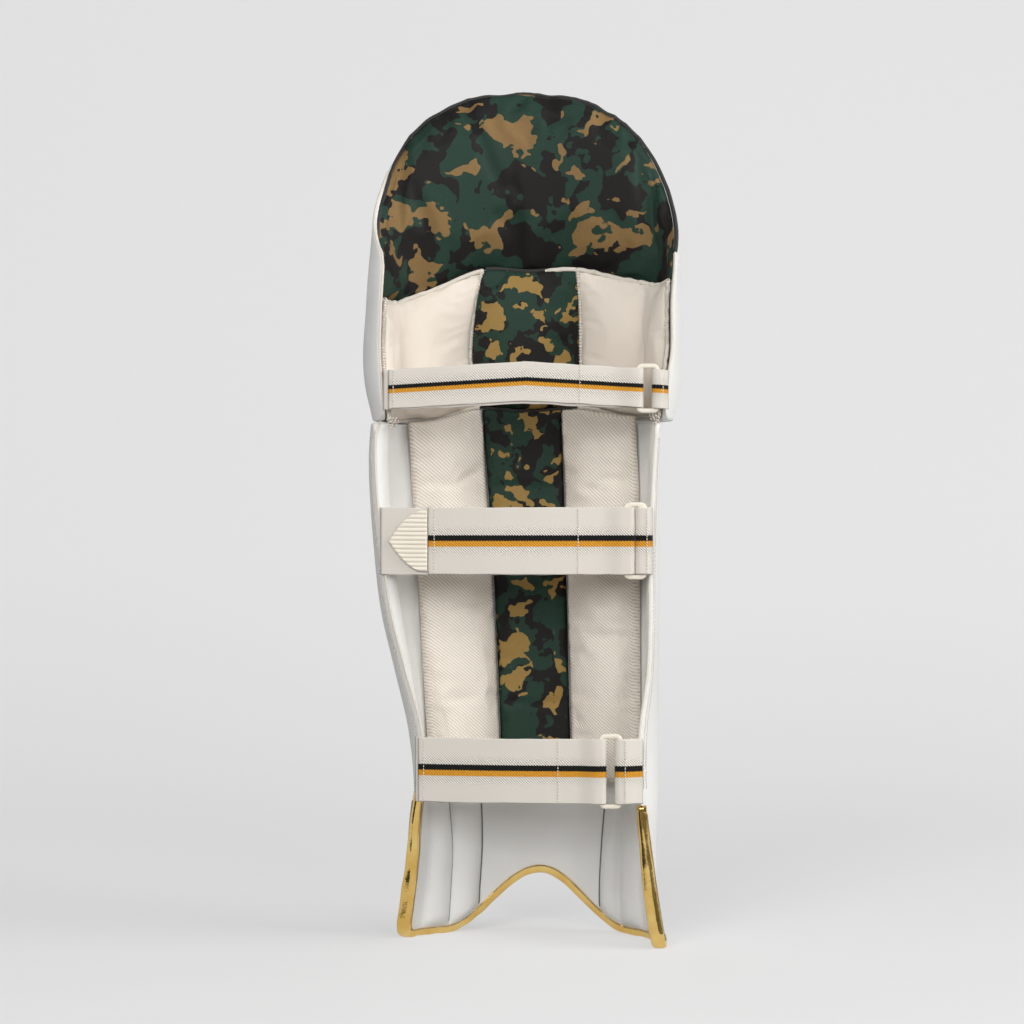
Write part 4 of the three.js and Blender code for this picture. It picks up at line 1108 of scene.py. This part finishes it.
def buildPull(spec, strapY):
    # arrow head: its left side is a rounded power curve of the height, crossed by rounded ribs
    base = spec["over"] * mm - webbing["gap"]
    u, v = np.meshgrid(edgeSteps(40, 0.02), edgeSteps(pull["ribs"] * 12, 0.01))
    tip = lerp(base - pull["least"], pull["tipX"], (1 - np.abs(2 * v - 1)) ** pull["power"])
    x = lerp(tip, base, u)
    z = spec["at"] * mm + (v - 0.5) * pull["height"]
    distance = np.minimum(np.minimum(u, 1 - u) * (base - tip), np.minimum(v, 1 - v) * pull["height"])
    ribs = pull["rib"] * np.abs(np.sin(pi * pull["ribs"] * (v + 0.06 * (u - 0.5) / pull["ribs"]))) ** 0.8
    seat = strapY(x, -1) + webbing["thick"] / 2
    round2 = rounded(distance, 1.2 * mm)
    thick = pull["thick"] - pull["rib"] + ribs
    middle = seat - pull["thick"] / 2
    front = np.stack([x, lerp(middle, seat - thick - 0.4 * mm, round2), z], -1)
    back = np.stack([x, lerp(middle, seat, round2), z], -1)
    addPiece("calfStrapPull", pillow(front, back), finish["plastic"], ["calf_strap_pull"])


def strapStitching(spec, x, surface, span):
    # a row of stitches across the webbing at x, raised from its outer face
    z = strapHeight(spec, x) + np.linspace(-0.5, 0.5, 60) * span * spec["width"] * mm
    y = surface(np.array([x]), -1)[0] - webbing["thick"] / 2
    path = np.stack([np.full(60, x), np.full(60, y), z], -1)
    return stitches(path, np.tile(towardsLeg, (60, 1)), **sewing["strap"])


def buildStraps():
    for order, (name, spec) in enumerate(straps.items()):
        plan, tabPlan, loopX, loopY, strapY, tabY = strapPlans(spec)
        addRibbon(name + "Strap", spec, plan, name + "_strap", 81 + order)
        tabSpec = dict(spec, sag=0)
        addRibbon(name + "StrapTab", tabSpec, tabPlan[::-1], name + "_strap_tab", 91 + order)
        addLoop(name + "StrapLoop", spec, loopX, loopY, name + "_strap_loop")
        rows = [strapStitching(spec, x * mm, strapY, 0.92) for x in spec["sewn"]]
        rows += [strapStitching(spec, x * mm, tabY, 0.92) for x in spec["tabSewn"]]
        addPiece(name + "StrapStitching", joined(rows), finish["creamThread"])
        if name == "calf":
            buildPull(spec, strapY)


buildStraps()
print("straps done")


# Seams, piping and stitching

piping = {"radius": 1.25 * mm, "dark": 2.0 * mm, "step": 1.6 * mm, "leftEnd": -0.76, "rightEnd": 0.9,
          "insideFrom": -0.86, "insideTo": -0.62, "insideShare": 0.988, "insideDown": 2.6 * mm,
          "insideDeep": 1.8 * mm, "down": 0.9 * mm}
overlock = {"core": 1.4 * mm, "radius": 1.7 * mm, "pitch": 2.8 * mm, "thread": 0.55 * mm, "knot": 2.2 * mm,
            "proud": 1.2 * mm, "wave": 0.5 * mm, "wavePitch": 7 * mm, "knotReach": 9 * mm}


def cord(rows, share, height, depth, radius):
    # a tube along a line on a wall
    line = np.concatenate([wallAt(rows, height, share, depth), wallOut(rows, height, share)], 1)
    line, out = np.split(resample(line, piping["step"]), 2, axis=1)
    return tube(line, unit(out), radius)


def buildThighPiping():
    # a cream cord up each side of the thigh part and a little way over its top
    sides = []
    for side, end in ((-1.0, piping["leftEnd"]), (1.0, piping["rightEnd"])):
        bottom = wall["joint"] + wall["corner"]
        height = np.concatenate([np.linspace(bottom, topArch(np.array(1.0)), 60)[:-1],
                                 topArch(np.linspace(side, end, 60))])
        share = np.concatenate([np.full(59, side), np.linspace(side, end, 60)])
        sides.append(cord(thighRows, share, height, thighInside(share, height) / 2, piping["radius"]))
    addPiece("thighPiping", joined(sides), finish["creamThread"])


def buildTopPiping():
    # a dark cord over the top, which runs inside the cream one at the left
    share = np.linspace(-1, 1, 400)
    inside = 1 - smooth(share, piping["insideFrom"], piping["insideTo"])
    down = piping["down"] * np.exp(-(share / 0.3) ** 4)
    height = topArch(share) - lerp(down, piping["insideDown"], inside)
    share = share * lerp(1, piping["insideShare"], inside)
    depth = lerp(thighInside(share, height) * 0.6, wall["edge"] + piping["insideDeep"], inside)
    dark = cord(thighRows, share, height, depth, piping["dark"])
    addPiece("topCushionPiping", dark, finish["darkThreadAndGapShade"])


def buildShinPiping():
    # a cream cord up each wing of the shin part and round its upper corner
    for name, side in (("shinPipingLeft", -1.0), ("shinPipingRight", 1.0)):
        bottom = instep["bindTopL"] if side < 0 else instep["bindTopR"]
        height = np.linspace(bottom + 2 * mm, wall["joint"] - wall["corner"], 220)
        turn = np.linspace(0, pi / 2, 14)[1:]
        rise = wall["joint"] - wall["corner"] * (1 - np.sin(turn))
        run = wall["corner"] * (1 - np.cos(turn)) / wallLength(shinRows, wall["joint"], side)
        share = np.concatenate([np.full(220, side), side * (1 - run)])
        height = np.concatenate([height, rise]) - 0.5 * mm
        depth = shinInside(share, height, 1.0) / 2
        addPiece(name, cord(shinRows, share, height, depth, piping["radius"]), finish["creamThread"])


def wound(line, out, radius):  # thread wound round a path
    return tube(*helix(line, out, radius, overlock["pitch"]), overlock["thread"], 5)


def hangingKnots(corner, side):  # three short ends of thread: turn downwards and size
    knots = []
    for turn, size in ((0.2, 1), (0.7, 0.8), (1.3, 0.9)):
        reach = overlock["knotReach"]
        end = np.array([side * reach * np.cos(turn), -2 * mm, -reach * np.sin(turn)])
        line = corner - [0, 3 * mm, 0] + np.linspace(0, 1, 12)[:, None] * end
        knots.append(wound(line, np.tile(towardsLeg, (12, 1)), overlock["knot"] * size))
    return knots


def buildOverlock():
    # a core wound with thread along the knee cushions' seams, and a knot of it at their lower outer corners
    parts = []
    u, v = np.linspace(0, 1, 120), np.linspace(0, 1, 90)
    borders = [(0 * v, v), (0 * v + 1, v), (u, 0 * u + 1), (u, 0 * u)]
    for name, sides in (("kneeBolsterLeft", borders), ("kneeBolsterRight", borders),
                        ("kneeBlock", [(lerp(0.66, 1, u), 0 * u + 1)])):
        fromAt, toAt, outer = kneeEdges[name]
        for across, up in sides:
            share, height, base = kneePlace(across, up, fromAt, toAt)
            wave = overlock["wave"] * uneven(across * 90 * mm, up * 120 * mm, 101, overlock["wavePitch"])
            depth = base + kneeLift(across, up, outer) + wave + overlock["proud"]
            line = wallAt(thighRows, height + 0.6 * wave, share, depth)
            out = -wallOut(thighRows, height, share)
            parts += [tube(line, out, overlock["core"], 6), wound(line, out, overlock["radius"])]
            if outer is not None and np.ptp(up) == 0 and up[0] == 0:
                parts += hangingKnots(line[0], 1) if outer == 0 else hangingKnots(line[-1], -1)
    addPiece("kneeOverlock", joined(parts), finish["creamThread"])


def buildBlockGapShade():
    # dark cords in the gaps below and above the knee block, painted shade where those gaps fall dark: x from
    # and to, seam, rise, depth, radius
    cords = []
    for fromX, toX, seam, rise, deep, radius in ((-37, 47, 1, -1.2, 4.2, 1.6), (-39, 22, 0, 1.0, 9, 1.8)):
        x = mm * np.linspace(fromX, toX, 120)
        share = shareAt(thighRows, kneeCushions["at"], x, wall["thick"])
        height = kneeSeams(share)[seam] + rise * mm
        cords.append(cord(thighRows, share, height, wall["thick"] + deep * mm, radius * mm))
    addPiece("kneeBlockGapShade", joined(cords), finish["darkThreadAndGapShade"])


def buildRollStitching():
    # stitches in the grooves between the rolls of the playing face
    half = shinShell["rolls"] / 2
    height = np.linspace(150 * mm, wall["joint"] - 30 * mm, 160)
    rows = []
    for groove in np.arange(shinShell["rolls"] + 1) - half:
        share = np.full(160, groove * shinShell["rollShare"])
        line = wallAt(shinRows, height, share, -0.2 * mm)
        rows.append(stitches(line, wallOut(shinRows, height, share), **sewing["roll"]))
    addPiece("rollStitching", joined(rows), finish["creamThread"])


def buildInstepSeamShades():
    # cords in the grooves beside the rolls inside the instep, at these places across the pad; their dark and
    # light grey is painted shade in those grooves
    for name, material, places in (("instepSeamShade", "darkSeamShade", (-37.2, 70.2)),
                                   ("instepTuckShade", "greySeamShade", (-63.5, 88))):
        share = shareAt(shinRows, shinShell["insideAt"], mm * np.array(places), wall["thick"])
        seams = []
        for at in share:
            height = np.linspace(lowerEdge(np.array([at]))[0] + 7 * mm, 132 * mm, 90)
            seams.append(cord(shinRows, np.full(90, at), height, wall["thick"] - 0.1 * mm, 0.9 * mm))
        addPiece(name, joined(seams), finish[material])


def buildWingStitching():
    # two rows beside the wings' edges on the outside
    rows = []
    for side in (-1.0, 1.0):
        height = np.linspace(140 * mm, wall["joint"] - 16 * mm, 260)
        length = wallLength(shinRows, height, np.full(260, side))
        for inset in (4.5 * mm, 8 * mm):
            share = side * (1 - inset / length)
            line = wallAt(shinRows, height, share, 0.0)
            rows.append(stitches(line, wallOut(shinRows, height, share), **sewing["wing"]))
    addPiece("wingStitching", joined(rows), finish["creamThread"])


buildThighPiping()
buildTopPiping()
buildShinPiping()
buildOverlock()
buildBlockGapShade()
buildRollStitching()
buildInstepSeamShades()
buildWingStitching()
print("seams and stitching done")


# Stage, light and camera

studio = {"halfWidth": 5.0, "front": -0.7, "bend": 0.9, "radius": 2.2, "high": 4.6, "glow": 0.475, "rise": 0.09,
          "mirrored": 0.8, "room": 0.17}
softboxes = {
    "keyLight": {"place": (2.6, -0.9, 1.4), "aim": (0, 0, 0.4), "size": (1.8, 1.8), "power": 60},
    "fillLight": {"place": (-0.9, -2.7, 2.3), "aim": (0, 0, 0.4), "size": (1.8, 1.6), "power": 37},
    "frontLeft": {"place": (-1.4, -3.1, 1.3), "aim": (0, 0, 0.2), "size": (1.3, 1.2), "power": 29},
    "frontRight": {"place": (1.4, -3.1, 1.3), "aim": (0, 0, 0.2), "size": (1.3, 1.2), "power": 29},
}
flags = {
    "leftFlag": {"x": (-0.9, -0.128), "y": (-0.6, -0.093)},
    "rightFlag": {"x": (0.14, 0.9), "y": (-0.6, -0.1)},
}
flagHeight = 0.004


def buildBackdrop():
    # floor, quarter circle and wall as one profile carried sideways
    # its glow is for the camera and for reflections, so it doesn't light the pad from below
    material, tree, shader = startMaterial("paperBackdrop", **{
        "Roughness": 0.95, "Specular IOR Level": 0.1, "Emission Color": (1.0, 1.0, 1.0, 1.0)})
    paths = addNode(tree, "LightPath").outputs
    mirrored = sums(tree, "MULTIPLY", paths["Is Glossy Ray"], studio["mirrored"])
    seen = sums(tree, "MAXIMUM", paths["Is Camera Ray"], mirrored)
    away = addNode(tree, "SeparateXYZ", {0: objectPlace(tree)}).outputs[1]
    glow = spread(tree, away, 0.2, 2.0, studio["glow"], studio["glow"] + studio["rise"])
    feed(tree, shader, "Emission Strength", sums(tree, "MULTIPLY", seen, glow))
    fibre = noise(tree, objectPlace(tree), 30, 3)
    feed(tree, shader, "Base Color", blend(tree, fibre, rgb(160, 160, 160), rgb(163, 163, 163)))
    angle = np.linspace(0, pi / 2, 24)
    y = np.concatenate([np.linspace(studio["front"], studio["bend"], 20)[:-1],
                        studio["bend"] + studio["radius"] * np.sin(angle),
                        np.full(8, studio["bend"] + studio["radius"])])
    z = np.concatenate([np.zeros(19), studio["radius"] * (1 - np.cos(angle)),
                        np.linspace(studio["radius"], studio["high"], 9)[1:]])
    x = np.linspace(-studio["halfWidth"], studio["halfWidth"], 12)
    points = np.stack([x + 0 * y[:, None], y[:, None] + 0 * x, z[:, None] + 0 * x], -1)
    mesh = bpy.data.meshes.new("backdrop")
    ids = np.arange(points.shape[0] * points.shape[1]).reshape(points.shape[:2])
    mesh.from_pydata(points.reshape(-1, 3).tolist(), [], quads(ids).tolist())
    mesh.shade_smooth()
    mesh.materials.append(material)
    backdrop = bpy.data.objects.new("backdrop", mesh)
    bpy.context.scene.collection.objects.link(backdrop)


def addFlag(name, x, y):
    # a black sheet just off the floor, there for the gold's reflections alone
    material, tree, shader = startMaterial(name, **{"Base Color": (0.02, 0.02, 0.02, 1.0), "Roughness": 0.9})
    mesh = bpy.data.meshes.new(name)
    corners = [(x[i], y[j], flagHeight) for i, j in ((0, 0), (1, 0), (1, 1), (0, 1))]
    mesh.from_pydata(corners, [], [(0, 1, 2, 3)])
    mesh.materials.append(material)
    flag = bpy.data.objects.new(name, mesh)
    flag.visible_camera = flag.visible_diffuse = flag.visible_shadow = False
    bpy.context.scene.collection.objects.link(flag)


def addSoftbox(name, place, aim, size, power):
    light = bpy.data.lights.new(name, "AREA")
    light.shape = "RECTANGLE"
    light.size, light.size_y = size
    light.energy = power
    lamp = bpy.data.objects.new(name, light)
    lamp.location = place
    lamp.rotation_euler = (Vector(aim) - Vector(place)).to_track_quat("-Z", "Y").to_euler()
    bpy.context.scene.collection.objects.link(lamp)


def buildStudio():
    for name, box in softboxes.items():
        addSoftbox(name, **box)
    for name, sides in flags.items():
        addFlag(name, **sides)
    world = bpy.data.worlds.new("softRoom")
    world.use_nodes = True
    world.node_tree.nodes["Background"].inputs[0].default_value = (1.0, 1.0, 1.0, 1.0)
    world.node_tree.nodes["Background"].inputs[1].default_value = studio["room"]
    bpy.context.scene.world = world
    bpy.context.scene.view_settings.view_transform = "Standard"


view = {"place": (-0.0096, -2.3, 0.379), "lens": 91.125, "sensor": 36.0}


def addCamera():
    camera = bpy.data.cameras.new("photoView")
    camera.lens, camera.sensor_width = view["lens"], view["sensor"]
    camera.clip_end = 50
    holder = bpy.data.objects.new("photoView", camera)
    holder.location = view["place"]
    holder.rotation_euler = (pi / 2, 0, 0)
    bpy.context.scene.collection.objects.link(holder)
    bpy.context.scene.camera = holder


buildBackdrop()
buildStudio()
addCamera()
print("studio and camera set")
